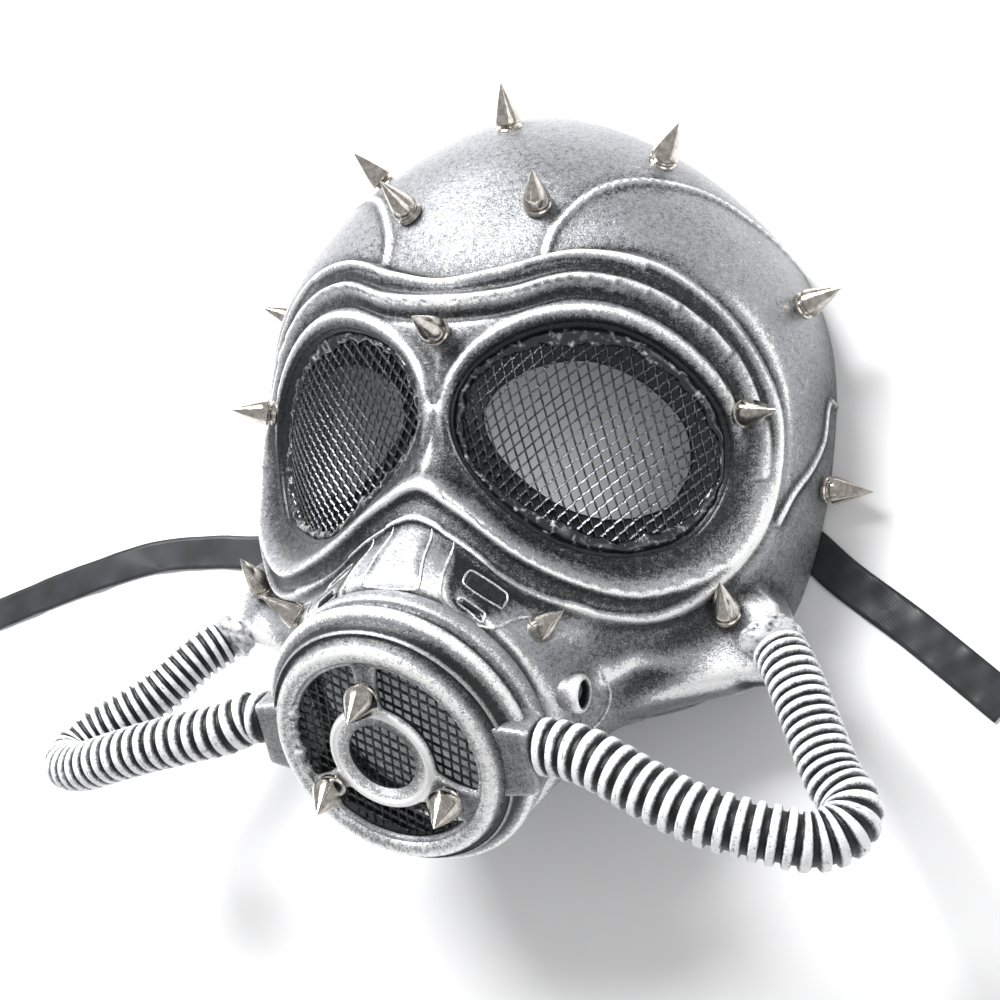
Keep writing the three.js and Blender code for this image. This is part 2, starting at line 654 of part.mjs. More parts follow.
function grillePlate() {
  const plate = new THREE.Shape();
  plate.absarc(0, 0, grilleRadius + 0.6, 0, 2 * Math.PI, false);
  const hub = new THREE.Path();
  hub.absarc(0, 0, hubRadius - hubBar / 2, 0, 2 * Math.PI, true);
  plate.holes.push(hub);
  for (const start of [90, 210, 330]) {
    plate.holes.push(arcWindow(THREE.MathUtils.degToRad(start), THREE.MathUtils.degToRad(start + 120)));
  }
  const plateGeometry = new THREE.ExtrudeGeometry(plate, { depth: grilleThickness, bevelEnabled: false, curveSegments: 8 });
  plateGeometry.translate(0, 0, -grilleThickness - grilleSunk);
  return toSolid(acrossCanister(plateGeometry, grilleDome));
}

function makeCanister() {
  const profile = canisterProfile();
  const body = alignTo(new THREE.LatheGeometry([...profile, profile[0]], canisterSides), canisterOrigin, canisterAxis);
  let canister = toSolid(body).add(grillePlate());
  for (const side of [1, -1]) {
    const middle = fromCanister(side * (portReach - portWidth / 2), -0.5, 3 + portDepth / 2);
    const port = alignTo(box(portWidth, portDepth, portHeight), middle, canisterAxis);
    canister = canister.add(toSolid(port));
  }
  return canister.subtract(toSolid(alignTo(
    new THREE.CylinderGeometry(flangeRadius - canisterWall - 0.5, flangeRadius - canisterWall - 0.5, 14, canisterSides),
    fromCanister(0, 0, 15.2), canisterAxis)));
}

// Diamond net behind the grille
function makeFilterNet() {
  const net = new THREE.Shape();
  net.absarc(0, 0, grilleRadius - 0.9, 0, 2 * Math.PI, false);
  const across = 11;
  const up = 13;
  const bar = 2;
  for (let row = -6; row <= 6; row++) {
    for (let column = -4; column <= 4; column++) {
      const x = (column + (row % 2 ? 0.5 : 0)) * across;
      const y = row * up / 2;
      if (Math.hypot(x, y) > grilleRadius - 7) continue;
      const hole = new THREE.Path();
      hole.moveTo(x + (across - bar) / 2, y);
      hole.lineTo(x, y - (up - bar) / 2);
      hole.lineTo(x - (across - bar) / 2, y);
      hole.lineTo(x, y + (up - bar) / 2);
      hole.closePath();
      net.holes.push(hole);
    }
  }
  const g = new THREE.ExtrudeGeometry(net, { depth: 1, bevelEnabled: false, curveSegments: 10 });
  g.translate(0, 0, -grilleThickness - grilleSunk - clearance - 1);
  return toSolid(acrossCanister(g, 0));
}

// Hoses, from a side port out to a tight bend and back to the jaw. They hang a little differently:
// each point is the share of the way out to the bend, then up and forward of the port in millimetres
const hoseRuns = {
  right: [[0.18, -1.7, 0.5], [0.4, -9.2, 0], [0.575, -14, -1.5], [0.81, -16.6, -6.5], [0.895, -16.6, -9.5],
    [0.97, -12.5, -13.5], [0.975, -7, -17], [0.9, 0.3, -21]],
  left: [[0.16, -4.6, 0.5], [0.33, -9, 0.5], [0.52, -13.7, -1], [0.69, -18.1, -3.5], [0.86, -22.1, -7.5],
    [0.98, -21.8, -12], [1.0, -17.2, -16.5], [0.96, -10.9, -20], [0.87, -4, -23.5], [0.77, 4.5, -28]],
};
function hosePoints(side) {
  const start = fromCanister(portReach + clearance, 2, 3 + portDepth / 2);
  const end = sideways(hoseSocketTop(side), side).addScaledVector(hoseEndAxis, plugLength + 2 * clearance);
  const points = [start, start.clone().add(new THREE.Vector3(5, 0, 0))];
  for (const [out, up, forward] of hoseRuns[side > 0 ? 'right' : 'left']) {
    points.push(new THREE.Vector3(mix(start.x, hoseReach, out), start.y + up, start.z + forward));
  }
  points.push(end.clone().addScaledVector(hoseEndAxis, 10), end.clone().addScaledVector(hoseEndAxis, 3), end);
  return points.map((p) => sideways(p, side));
}

function makeHose(side) {
  return tubeAlong(hosePoints(side), hoseRadius, hoseSides, hoseSteps);
}

function makePlug(side) {
  const axis = sideways(hoseEndAxis, side);
  const base = hoseSocketTop(side).addScaledVector(axis, clearance);
  const r = hoseRadius;
  const profile = [[0, 0], [r - 0.6, 0], [r + 1, 2], [r + 0.8, plugLength - 1.5], [r - 0.8, plugLength], [0, plugLength]]
    .map(([x, y]) => new THREE.Vector2(x, y));
  return alignTo(new THREE.LatheGeometry(profile, 10), base, axis);
}

// Ribbon ties, flat on the table: centre line from inside the temple to the cut end
const ribbonRight = [[84, -37], [95, -44.5], [107, -54], [130, -69], [160, -90.5]];
const ribbonLeft = [[-84, -37], [-96, -46], [-114, -54.5], [-139, -56], [-166, -59], [-200, -69.5], [-250, -89]];
function makeRibbon(line) {
  const curve = new THREE.SplineCurve(line.map(([x, y]) => new THREE.Vector2(x, y)));
  const count = 11;
  const left = [];
  const right = [];
  for (let i = 0; i <= count; i++) {
    const p = curve.getPoint(i / count);
    const t = curve.getTangent(i / count);
    const across = new THREE.Vector2(-t.y, t.x).multiplyScalar(ribbonWidth / 2);
    left.push(p.clone().add(across));
    right.push(p.clone().sub(across));
  }
  const g = new THREE.ExtrudeGeometry(new THREE.Shape([...left, ...right.reverse()]),
    { depth: ribbonThickness, bevelEnabled: false });
  return g.translate(0, 0, 0.05);
}

const materials = {
  shell: { color: 0x7c7d80, roughness: 0.45, metalness: 0.6 },
  steel: { color: 0xb8b0a4, roughness: 0.2, metalness: 1 },
  net: { color: 0x1b1c1f, roughness: 0.4, metalness: 0.7 },
  hose: { color: 0x3a3d45, roughness: 0.5, metalness: 0.1 },
  glue: { color: 0xc9cacc, roughness: 0.35, metalness: 0.4 },
  ribbon: { color: 0x3b3e46, roughness: 0.45, metalness: 0 },
};

const mask = new THREE.Group();
function addPiece(name, geometry, material) {
  const mesh = new THREE.Mesh(geometry, new THREE.MeshStandardMaterial(materials[material]));
  mesh.name = name;
  mask.add(mesh);
}

const body = shellBody();
const sites = studSites(body);
addPiece('mask_shell', toGeometry(makeShell(body, sites)), 'shell');
addPiece('filter_canister', toGeometry(makeCanister()), 'shell');
addPiece('filter_net', toGeometry(makeFilterNet()), 'net');
for (const [side, word] of [[1, 'right'], [-1, 'left']]) {
  addPiece(`lens_net_${word}`, toGeometry(makeLens(side)), 'net');
  addPiece(`hose_${word}`, toGeometry(toSolid(makeHose(side))), 'hose');
  addPiece(`glue_plug_${word}`, toGeometry(toSolid(makePlug(side))), 'glue');
}
addPiece('ribbon_right', toGeometry(toSolid(makeRibbon(ribbonRight))), 'ribbon');
addPiece('ribbon_left', toGeometry(toSolid(makeRibbon(ribbonLeft))), 'ribbon');

const studSides = 7;
for (const site of sites) {
  const g = new THREE.LatheGeometry(studProfile(studLength, studRadius, site.through), studSides);
  addPiece(site.name, toGeometry(toSolid(alignTo(g, site.base, site.axis))), 'steel');
}
const leaning = new THREE.Vector3(grilleStudLean, 0, 0).add(canisterAxis).normalize();
for (const [degrees, word] of [[90, 'top'], [210, 'left'], [330, 'right']]) {
  const angle = THREE.MathUtils.degToRad(degrees);
  const across = grilleStudRadius * Math.cos(angle);
  const up = grilleStudRadius * Math.sin(angle);
  const onGrille = (x, y) => fromCanister(x, y, grilleSunk - grilleDome * (1 - Math.hypot(x, y) ** 2 / grilleRadius ** 2));
  const foot = onGrille(across, up);
  const heights = around.map((q) => onGrille(across + studFlange * q.x, up + studFlange * q.y).sub(foot).dot(leaning));
  const base = foot.addScaledVector(leaning, Math.max(...heights) + clearance);
  const g = new THREE.LatheGeometry(studProfile(grilleStudLength, grilleStudBase), studSides);
  addPiece(`stud_grille_${word}`, toGeometry(toSolid(alignTo(g, base, leaning))), 'steel');
}

// The origin is the middle of the footprint of all but the loose ribbons, on the table
const bounds = new THREE.Box3();
for (const mesh of mask.children) if (!mesh.name.startsWith('ribbon')) bounds.expandByObject(mesh);
const middle = bounds.getCenter(new THREE.Vector3());
for (const mesh of mask.children) mesh.position.set(-middle.x, -middle.y, -bounds.min.z);

export default mask;
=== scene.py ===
import math
import bmesh
import bpy
import numpy as np
from mathutils import Matrix, Vector


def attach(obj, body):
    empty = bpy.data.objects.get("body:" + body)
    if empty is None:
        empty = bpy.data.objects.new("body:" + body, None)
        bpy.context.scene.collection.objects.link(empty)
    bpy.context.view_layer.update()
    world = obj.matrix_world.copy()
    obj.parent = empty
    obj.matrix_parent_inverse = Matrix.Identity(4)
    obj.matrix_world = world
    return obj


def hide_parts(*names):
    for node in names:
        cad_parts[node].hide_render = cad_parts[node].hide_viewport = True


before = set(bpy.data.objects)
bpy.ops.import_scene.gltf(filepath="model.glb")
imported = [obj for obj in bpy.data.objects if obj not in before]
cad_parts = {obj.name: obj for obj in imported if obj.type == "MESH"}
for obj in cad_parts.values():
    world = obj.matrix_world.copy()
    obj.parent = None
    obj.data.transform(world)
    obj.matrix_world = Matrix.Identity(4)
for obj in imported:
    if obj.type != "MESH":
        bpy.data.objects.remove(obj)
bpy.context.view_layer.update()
# Shapes are worked out in millimetres from the bridge of the nose, and this takes them to the frame
originShift = np.array([0.7806, 30.0163, 0.0])


def toFrame(points):
    return (np.asarray(points, float) + originShift) / 1000.0


def unit(v):
    v = np.asarray(v, float)
    return v / np.linalg.norm(v)


# Camera at the photograph's angle
cameraLook = {"place": (248.8, -142.6, 501.2), "view": (-0.463, 0.191, -0.866), "up": (-0.026, 0.973, 0.228),
              "lens": 58.74}


def makeCamera(look):
    view = unit(look["view"])
    right = unit(np.cross(view, look["up"]))
    up = np.cross(right, view)
    data = bpy.data.cameras.new("camera")
    data.lens, data.sensor_width, data.clip_start, data.clip_end = look["lens"], 36.0, 0.01, 50
    camera = bpy.data.objects.new("camera", data)
    place = toFrame(look["place"])
    camera.matrix_world = Matrix([[right[i], up[i], -view[i], place[i]] for i in range(3)] + [[0, 0, 0, 1]])
    bpy.context.scene.collection.objects.link(camera)
    bpy.context.scene.camera = camera


makeCamera(cameraLook)


# Colours and nodes
def linear(hexCode):
    parts = [int(hexCode[i : i + 2], 16) / 255 for i in (1, 3, 5)]
    return tuple(c / 12.92 if c <= 0.04045 else ((c + 0.055) / 1.055) ** 2.4 for c in parts) + (1.0,)


def addNode(tree, kind, settings=None, **inputs):
    node = tree.nodes.new("ShaderNode" + kind)
    for key, value in (settings or {}).items():
        setattr(node, key, value)
    for key, value in inputs.items():
        socket = node.inputs[int(key[1:])] if key[1:].isdigit() else node.inputs[key.replace("_", " ")]
        if isinstance(value, bpy.types.NodeSocket):
            tree.links.new(value, socket)
        else:
            socket.default_value = value
    return node


def newMaterial(name):
    material = bpy.data.materials.new(name)
    material.use_nodes = True
    material.node_tree.nodes.clear()
    tree = material.node_tree
    return material, tree, addNode(tree, "TexCoord").outputs["Object"]


def finishMaterial(tree, shader):
    tree.links.new(shader.outputs[0], addNode(tree, "OutputMaterial").inputs["Surface"])


def combine(tree, operation, a, b=0.5, c=0.5):
    return addNode(tree, "Math", {"operation": operation}, i0=a, i1=b, i2=c).outputs[0]


def blendColour(tree, factor, a, b):
    return addNode(tree, "Mix", {"data_type": "RGBA"}, i0=factor, i6=a, i7=b).outputs[2]


# Noise whose grains are so many millimetres across, from about -1 to 1
def grain(tree, place, size, detail=3.0, stretch=(1.0, 1.0, 1.0)):
    if stretch != (1.0, 1.0, 1.0):
        place = addNode(tree, "Mapping", None, Vector=place, Scale=stretch).outputs[0]
    raw = addNode(tree, "TexNoise", None, Vector=place, Scale=1000.0 / size, Detail=detail, Roughness=0.6)
    return combine(tree, "MULTIPLY_ADD", raw.outputs[0], 4.0, -2.0)


def ramp(tree, value, low, high):
    return addNode(tree, "MapRange", {"interpolation_type": "SMOOTHSTEP"}, i0=value, i1=low, i2=high).outputs[0]


# Black moulded plastic dry-brushed with antique silver: paint lies on what stands proud, the hollows stay black,
# and the crests are rubbed nearly white. The brush leaves fine speckle and short scratches.
def brushedSilver(name, look):
    material, tree, place = newMaterial(name)
    # the attribute read here holds the paint's wear on what stands proud, and on the shell also painted shade in the
    # sunken vent panel and the jaw recess
    wearAndShade = addNode(tree, "Attribute", {"attribute_name": "wearAndShade"}).outputs["Fac"]
    speckle = grain(tree, place, look["speckle"], 4)
    mottle = grain(tree, place, look["mottle"], 3)
    cloud = grain(tree, place, look["cloud"], 2)
    along = grain(tree, place, look["scratch"], 2, (1.0, 0.16, 0.4))
    across = grain(tree, place, look["scratch"], 2, (0.18, 1.0, 0.4))
    coverAndShade = combine(tree, "MULTIPLY_ADD", wearAndShade, look["wearAndShade"], look["base"])
    for value, share in ((speckle, "speckleShare"), (mottle, "mottleShare"), (cloud, "cloudShare"),
                         (ramp(tree, along, 0.5, 1.1), "scratchShare"), (ramp(tree, across, 0.5, 1.1), "scratchShare")):
        coverAndShade = combine(tree, "MULTIPLY_ADD", value, look[share], coverAndShade)
    colour = blendColour(tree, ramp(tree, coverAndShade, 0.0, 1.0), linear(look["black"]), linear(look["silver"]))
    colour = blendColour(tree, ramp(tree, coverAndShade, look["whiteFrom"], look["whiteTo"]), colour, linear(look["white"]))
    rough = combine(tree, "MULTIPLY_ADD", mottle, 0.06, look["rough"])
    metal = combine(tree, "MULTIPLY", ramp(tree, coverAndShade, 0.0, 1.0), look["metal"])
    bump = addNode(tree, "Bump", None, Strength=0.35, Distance=0.00015, Height=combine(tree, "ADD", speckle, mottle))
    shader = addNode(tree, "BsdfPrincipled", None, Base_Color=colour, Metallic=metal, Roughness=rough,
                     Normal=bump.outputs[0])
    finishMaterial(tree, shader)
    return material


# Other finishes: two tones broken up by noise, with the roughness following it
def mottledFinish(name, look):
    material, tree, place = newMaterial(name)
    value = grain(tree, place, look["size"], 4)
    share = ramp(tree, value, look.get("from", -0.6), look.get("to", 0.8))
    colour = blendColour(tree, share, linear(look["dark"]), linear(look["light"]))
    rough = combine(tree, "MULTIPLY_ADD", value, look["roughVary"], look["rough"])
    bump = addNode(tree, "Bump", None, Strength=look["bump"], Distance=0.0002, Height=value)
    shader = addNode(tree, "BsdfPrincipled", None, Base_Color=colour, Metallic=look["metal"], Roughness=rough,
                     Normal=bump.outputs[0])
    shader.inputs["Coat Weight"].default_value = look.get("coat", 0.0)
    shader.inputs["Coat Roughness"].default_value = 0.08
    finishMaterial(tree, shader)
    return material


# Polyester satin: fine slanting weave lines, soft long highlights
def satinWeave(name, look):
    material, tree, place = newMaterial(name)
    # 0.35 mm threads: finer than the render shows, but they soften the highlights
    weave = addNode(tree, "TexWave", {"wave_type": "BANDS", "bands_direction": "DIAGONAL"}, Vector=place,
                    Scale=1000.0 / look["thread"] / 6.28, Distortion=0.3).outputs["Fac"]
    soft = grain(tree, place, look["cloud"], 2)
    colour = blendColour(tree, ramp(tree, soft, -1.0, 1.0), linear(look["dark"]), linear(look["light"]))
    bump = addNode(tree, "Bump", None, Strength=0.3, Distance=0.00008, Height=weave)
    shader = addNode(tree, "BsdfPrincipled", None, Base_Color=colour, Roughness=0.45, Normal=bump.outputs[0])
    shader.inputs["Sheen Weight"].default_value = 0.25
    shader.inputs["Anisotropic"].default_value = 0.5
    finishMaterial(tree, shader)
    return material


# Grain sizes in millimetres; the shares say how strongly each kind of grain breaks up the paint
shellLook = {"black": "#0c0d10", "silver": "#a4a6aa", "white": "#ffffff", "base": 0.53, "wearAndShade": 0.75,
             "speckle": 0.5, "mottle": 1.8, "cloud": 26.0, "scratch": 0.9,
             "speckleShare": 0.42, "mottleShare": 0.18, "cloudShare": 0.1, "scratchShare": 0.3,
             "whiteFrom": 0.95, "whiteTo": 1.35, "rough": 0.3, "metal": 0.5}
# The hoses are brushed thickly: nearly white ribs with black specks, black grooves
hoseLook = {**shellLook, "black": "#08080a", "silver": "#a9acb1", "white": "#f4f4f5", "base": 0.5, "wearAndShade": 0.62,
            "whiteFrom": 0.8, "whiteTo": 1.1, "mottleShare": 0.3, "cloudShare": 0.05, "scratchShare": 0.1,
            "metal": 0.1, "rough": 0.4}
# Moulded black plastic: smooth, half glossy, nearly even
blackLook = {"size": 1.4, "dark": "#101114", "light": "#24262b", "rough": 0.3, "roughVary": 0.08, "bump": 0.3,
             "metal": 0.0}
# Back of the moulding in matt mid grey: painted light, lighter than the black inside, standing in for the lit table
# seen through the nets and the canister
paintedLightBackLook = {"size": 2.5, "dark": "#8b8d90", "light": "#b3b4b7", "rough": 0.55, "roughVary": 0.08, "bump": 0.2,
            "metal": 0.0}
# Cut and pulled sheet metal, painted black: dark strands that glint where they face the light
netLook = {"size": 0.7, "dark": "#17181b", "light": "#7e8085", "rough": 0.22, "roughVary": 0.08, "bump": 0.2,
           "metal": 0.8}
# Turned and polished nickel: warm grey with sharp reflections
studLook = {"size": 2.0, "dark": "#b5afa6", "light": "#dedad3", "rough": 0.14, "roughVary": 0.05, "bump": 0.04,
            "metal": 1.0}
# Hot glue under silver paint: lumpy and wet-looking, silver with dark patches
glueLook = {"size": 2.2, "dark": "#3d3f44", "light": "#d6d8db", "rough": 0.2, "roughVary": 0.1, "bump": 0.5,
            "metal": 0.2, "from": -0.9, "to": 0.3, "coat": 0.5}
# Clear hot glue over black plastic: dark and glassy with silver smears
wetGlueLook = {"size": 2.6, "dark": "#15161a", "light": "#d2d4d8", "rough": 0.1, "roughVary": 0.06, "bump": 0.5,
               "metal": 0.1, "from": 0.1, "to": 1.1, "coat": 0.9}
ribbonLook = {"thread": 0.35, "cloud": 14.0, "dark": "#17181b", "light": "#2b2d32"}
materials = {
    "shell": brushedSilver("antique_silver_brushed_plastic", shellLook),
    "hose": brushedSilver("silver_brushed_ribbed_hose", hoseLook),
    "inside": mottledFinish("black_moulded_plastic", blackLook),
    "paintedLightBack": mottledFinish("grey_back_painted_light", paintedLightBackLook),
    "net": mottledFinish("black_expanded_metal", netLook),
    "stud": mottledFinish("polished_nickel", studLook),
    "glue": mottledFinish("silver_brushed_hot_glue", glueLook),
    "wetGlue": mottledFinish("clear_hot_glue_over_black", wetGlueLook),
    "ribbon": satinWeave("black_satin_ribbon", ribbonLook),
}


# Mesh helpers
def keepPiece(bm, name, finishes, replaced=(), smooth=True, sharpAngle=None):
    bmesh.ops.recalc_face_normals(bm, faces=bm.faces)
    for face in bm.faces:
        face.smooth = smooth
    if sharpAngle:
        for edge in bm.edges:
            edge.smooth = edge.calc_face_angle(0) < sharpAngle
    mesh = bpy.data.meshes.new(name)
    bm.to_mesh(mesh)
    bm.free()
    for finish in finishes:
        mesh.materials.append(materials[finish])
    obj = bpy.data.objects.new(name, mesh)
    bpy.context.scene.collection.objects.link(obj)
    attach(obj, "root")
    if replaced:
        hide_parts(*replaced)
    return obj


# How far each vertex stands proud of its neighbours, from the angles at its edges
def markProud(bm, radius):
    layer = bm.verts.layers.float.new("wearAndShade")
    bm.normal_update()
    for vert in bm.verts:
        edges = [e for e in vert.link_edges if len(e.link_faces) == 2]
        bend = sum(e.calc_face_angle_signed(0.0) for e in edges) / max(sum(e.calc_length() for e in edges), 1e-9)
        vert[layer] = max(-1.0, min(1.0, bend * radius / 1000.0))
    around = [sum(e.other_vert(v)[layer] for e in v.link_edges) / max(len(v.link_edges), 1) for v in bm.verts]
    for vert, value in zip(bm.verts, [0.5 * v[layer] + 0.5 * a for v, a in zip(bm.verts, around)]):
        vert[layer] = value


# A grid laid out as a tube of many sections, each a row of points; joined round, and along too where it is looped
def sweptPiece(sections, looped=False):
    sections = np.asarray(sections)
    rows, sides = sections.shape[:2]
    count = rows if looped else rows - 1
    bm = bmesh.new()
    bmesh.ops.create_grid(bm, x_segments=sides, y_segments=count, size=0.5)
    flat = np.array([v.co for v in bm.verts])[:, :2] + 0.5
    across, along = np.round(flat[:, 0] * sides).astype(int), np.round(flat[:, 1] * count).astype(int)
    for vert, point in zip(bm.verts, toFrame(sections[along % rows, across % sides])):
        vert.co = point
    bmesh.ops.remove_doubles(bm, verts=bm.verts, dist=1e-7)
    if not looped:
        bmesh.ops.holes_fill(bm, edges=[e for e in bm.edges if e.is_boundary], sides=0)
    return bm


# A profile of radius, height and, where the paint is worn by it, how far it stands proud, turned about an axis
def turnedPiece(profile, steps, base, axis, closed=False):
    bm = bmesh.new()
    layer = bm.verts.layers.float.new("wearAndShade")
    axis = unit(axis)
    side = unit(np.cross(axis, [0.31, 0.9, 0.3]))
    verts = [bm.verts.new(toFrame(np.asarray(base) + row[0] * side + row[1] * axis)) for row in profile]
    for vert, row in zip(verts, profile):
        vert[layer] = row[2] if len(row) > 2 else 0.0
    pairs = list(zip(verts, verts[1:])) + ([(verts[-1], verts[0])] if closed else [])
    edges = [bm.edges.new(pair) for pair in pairs]
    bmesh.ops.spin(bm, geom=verts + edges, cent=toFrame(base), axis=axis, angle=2 * math.pi, steps=steps,
                   use_merge=True)
    bmesh.ops.remove_doubles(bm, verts=bm.verts, dist=1e-6)
    return bm


# A smooth curve through the points, tight at close ones
def smoothLine(points, perSpan, closed=False):
    p = np.asarray(points, float)
    n = len(p)
    out = []
    for i in range(n if closed else n - 1):
        a = p[(i - 1) % n] if closed or i > 0 else 2 * p[0] - p[1]
        b, c = p[i], p[(i + 1) % n]
        d = p[(i + 2) % n] if closed or i + 2 < n else 2 * p[-1] - p[-2]
        d1, d2, d3 = (math.sqrt(np.linalg.norm(q)) + 1e-9 for q in (b - a, c - b, d - c))
        m1 = ((b - a) / d1 - (c - a) / (d1 + d2) + (c - b) / d2) * d2
        m2 = ((c - b) / d2 - (d - b) / (d2 + d3) + (d - c) / d3) * d2
        for k in range(perSpan):
            t = k / perSpan
            near, far = (2 * t**3 - 3 * t * t + 1) * b, (3 * t * t - 2 * t**3) * c
            out.append(near + (t**3 - 2 * t * t + t) * m1 + far + (t**3 - t * t) * m2)
    if not closed:
        out.append(p[-1])
    return np.array(out)


def evenly(line, count):
    gaps = np.r_[0, np.cumsum(np.linalg.norm(np.diff(line, axis=0), axis=1))]
    t = np.linspace(0, gaps[-1], count)
    return np.stack([np.interp(t, gaps, line[:, k]) for k in range(line.shape[1])], 1), gaps[-1]


# Ribbon ties lying on the table, each ending past the photograph's edge
ribbons = {
    "ribbon_right": {"line": [(84, -37), (95, -44.5), (107, -54), (130, -69), (160, -90.5)], "seed": 1},
    "ribbon_left": {"line": [(-84, -37), (-96, -46), (-114, -54.5), (-139, -56), (-166, -59), (-200, -69.5), (-250, -89)],
                    "seed": 2},
}
ribbonSize = {"width": 12.8, "thickness": 0.45, "lift": 0.35}


def makeRibbon(node, ribbon):
    line, length = evenly(smoothLine(ribbon["line"], 20), 121)
    along = np.gradient(line, axis=0)
    along /= np.linalg.norm(along, axis=1, keepdims=True)
    across = np.stack([-along[:, 1], along[:, 0]], 1)
    rng = np.random.default_rng(ribbon["seed"])
    t = np.linspace(0, 1, len(line))
    wave = np.sin(9 * math.pi * t + rng.uniform(0, 6)) + 0.6 * np.sin(21 * math.pi * t + rng.uniform(0, 6))
    wave = np.clip(0.3 * wave, -0.3, 1) * np.clip((t - 0.15) * 6, 0, 1)
    shares = np.linspace(-1, 1, 9)
    rows = []
    for level, order in ((ribbonSize["thickness"], shares), (0.0, shares[::-1])):
        for s in order:
            curl = np.clip(0.2 + 0.9 * wave * s + 0.3 * s * s * np.clip(wave, 0, 1), 0, None)
            lift = ribbonSize["lift"] + level + curl
            rows.append(np.column_stack([line + across * (s * ribbonSize["width"] / 2), lift]))
    obj = keepPiece(sweptPiece(np.stack(rows, 1)), node + "_satin", ["ribbon"], (node,))
    path = toFrame(np.column_stack([line, np.full(len(line), 0.7)]))


print("ribbons")
for node, ribbon in ribbons.items():
    makeRibbon(node, ribbon)


# The shell: a dome with a goggle field, a snout cone and a jaw bar, all measured from a centre on the table.
# A place on it is a point of a flat chart, whose distance from the middle is the angle off straight up.
chart = 90.0
centre = np.array([0.0, -15.0, 0.0])
shellSize = {"halfWidth": 100.0, "foreheadReach": 112.5, "chinReach": 92.0, "foreheadDepth": 85.5, "cheekDepth": 70.0,
             "faceHalfWidth": 104.0, "faceReachUp": 200.0, "faceReachDown": 136.0, "faceDepth": 93.0, "wall": 3.0,
             "frameHalfWidth": 104.6, "frameHalfHeight": 50.0, "frameMiddle": -12.0, "eyeHalfWidth": 45.0,
             "eyeHalfHeight": 36.5, "eyeAcross": 50.0, "eyeUp": -15.0, "seatDepth": 4.5, "boreRadius": 36.2}
canister = {"front": np.array([0.0, -128.8, 86.8]), "tilt": 49.9, "depth": 23.3, "grille": 32.0, "dome": 3.4,
            "sunk": 0.9, "hub": 15.8, "port": 46.5}
# Half outlines of the two ridges, and the right eye's outline, in shares of the sizes above
outerRidge = [(0, .80), (.175, .868), (.372, 1), (.586, .984), (.802, .78), (.967, .386), (1, -.006), (.955, -.452),
              (.815, -.808), (.646, -1), (.45, -.976), (.293, -.878), (.132, -.668), (0, -.556)]
innerRidge = [(0, .706), (.192, .752), (.386, .884), (.609, .844), (.833, .594), (.945, .24), (.971, -.022), (.925, -.5),
              (.787, -.774), (.61, -.894), (.461, -.854), (.298, -.724), (.124, -.504), (0, -.39)]
eyeShape = [(-.99, .17), (-.86, .56), (-.473, .888), (0, 1), (.484, .827), (.89, .397), (.99, -.17), (.78, -.72),
            (.347, -.97), (-.058, -.96), (-.51, -.70), (-.9, -.22)]
size = shellSize
tilt = math.radians(canister["tilt"])
axisOut = np.array([0.0, -math.cos(tilt), math.sin(tilt)])
axisUp = np.array([0.0, math.sin(tilt), math.cos(tilt)])


def onCanister(across, up, behind):
    across, up, behind = np.broadcast_arrays(*(np.asarray(x, float) for x in (across, up, behind)))
    sideways = across[..., None] * np.array([1.0, 0, 0])
    return canister["front"] + sideways + up[..., None] * axisUp - behind[..., None] * axisOut


def frameCurve(shares):
    right = [(a * size["frameHalfWidth"], size["frameMiddle"] + b * size["frameHalfHeight"]) for a, b in shares]
    return smoothLine(right + [(-u, v) for u, v in right[1:-1]][::-1], 8, True)


def eyeCurve(perSpan):
    points = [(size["eyeAcross"] + a * size["eyeHalfWidth"], size["eyeUp"] + b * size["eyeHalfHeight"]) for a, b in eyeShape]
    return smoothLine(points, perSpan, True)


outerLine, innerLine, eyeLine = frameCurve(outerRidge), frameCurve(innerRidge), eyeCurve(8)


# Distance to a line in the chart, less than nothing inside a closed one
def lineDistance(line, u, v, closed=True):
    u, v = np.ravel(u), np.ravel(v)
    best, inside = np.full(u.shape, 1e9), np.zeros(u.shape, bool)
    for a, b in zip(line, np.roll(line, -1, 0) if closed else line[1:]):
        dx, dy = b - a
        t = np.clip(((u - a[0]) * dx + (v - a[1]) * dy) / (dx * dx + dy * dy + 1e-12), 0, 1)
        best = np.minimum(best, np.hypot(u - a[0] - t * dx, v - a[1] - t * dy))
        if closed:
            crossing = (a[1] > v) != (b[1] > v)
            inside ^= crossing & (u < dx * (v - a[1]) / (dy if abs(dy) > 1e-12 else 1e-12) + a[0])
    return np.where(inside, -best, best)


def rise(low, high, x):
    t = np.clip((x - low) / (high - low), 0, 1)
    return t * t * (3 - 2 * t)


def crest(gap, width=2.2):
    return np.exp(-((gap / width) ** 2))


def directions(u, v):
    rho = np.hypot(u, v)
    k = np.where(rho > 1e-9, np.sin(rho / chart) / np.maximum(rho, 1e-9), 1 / chart)
    return np.stack([u * k, v * k, np.cos(rho / chart)], 1)


def toChart(points):
    d = np.asarray(points, float) - centre
    flat = np.maximum(np.hypot(d[..., 0], d[..., 1]), 1e-9)
    reach = np.arctan2(flat, d[..., 2]) * chart / flat
    return np.stack([d[..., 0] * reach, d[..., 1] * reach], -1)


# The lesser of two distances, blended over a width, so that two forms run into each other
def softMin(a, b, k):
    h = np.clip(0.5 + 0.5 * (b - a) / k, 0, 1)
    return b + (a - b) * h - k * h * (1 - h)


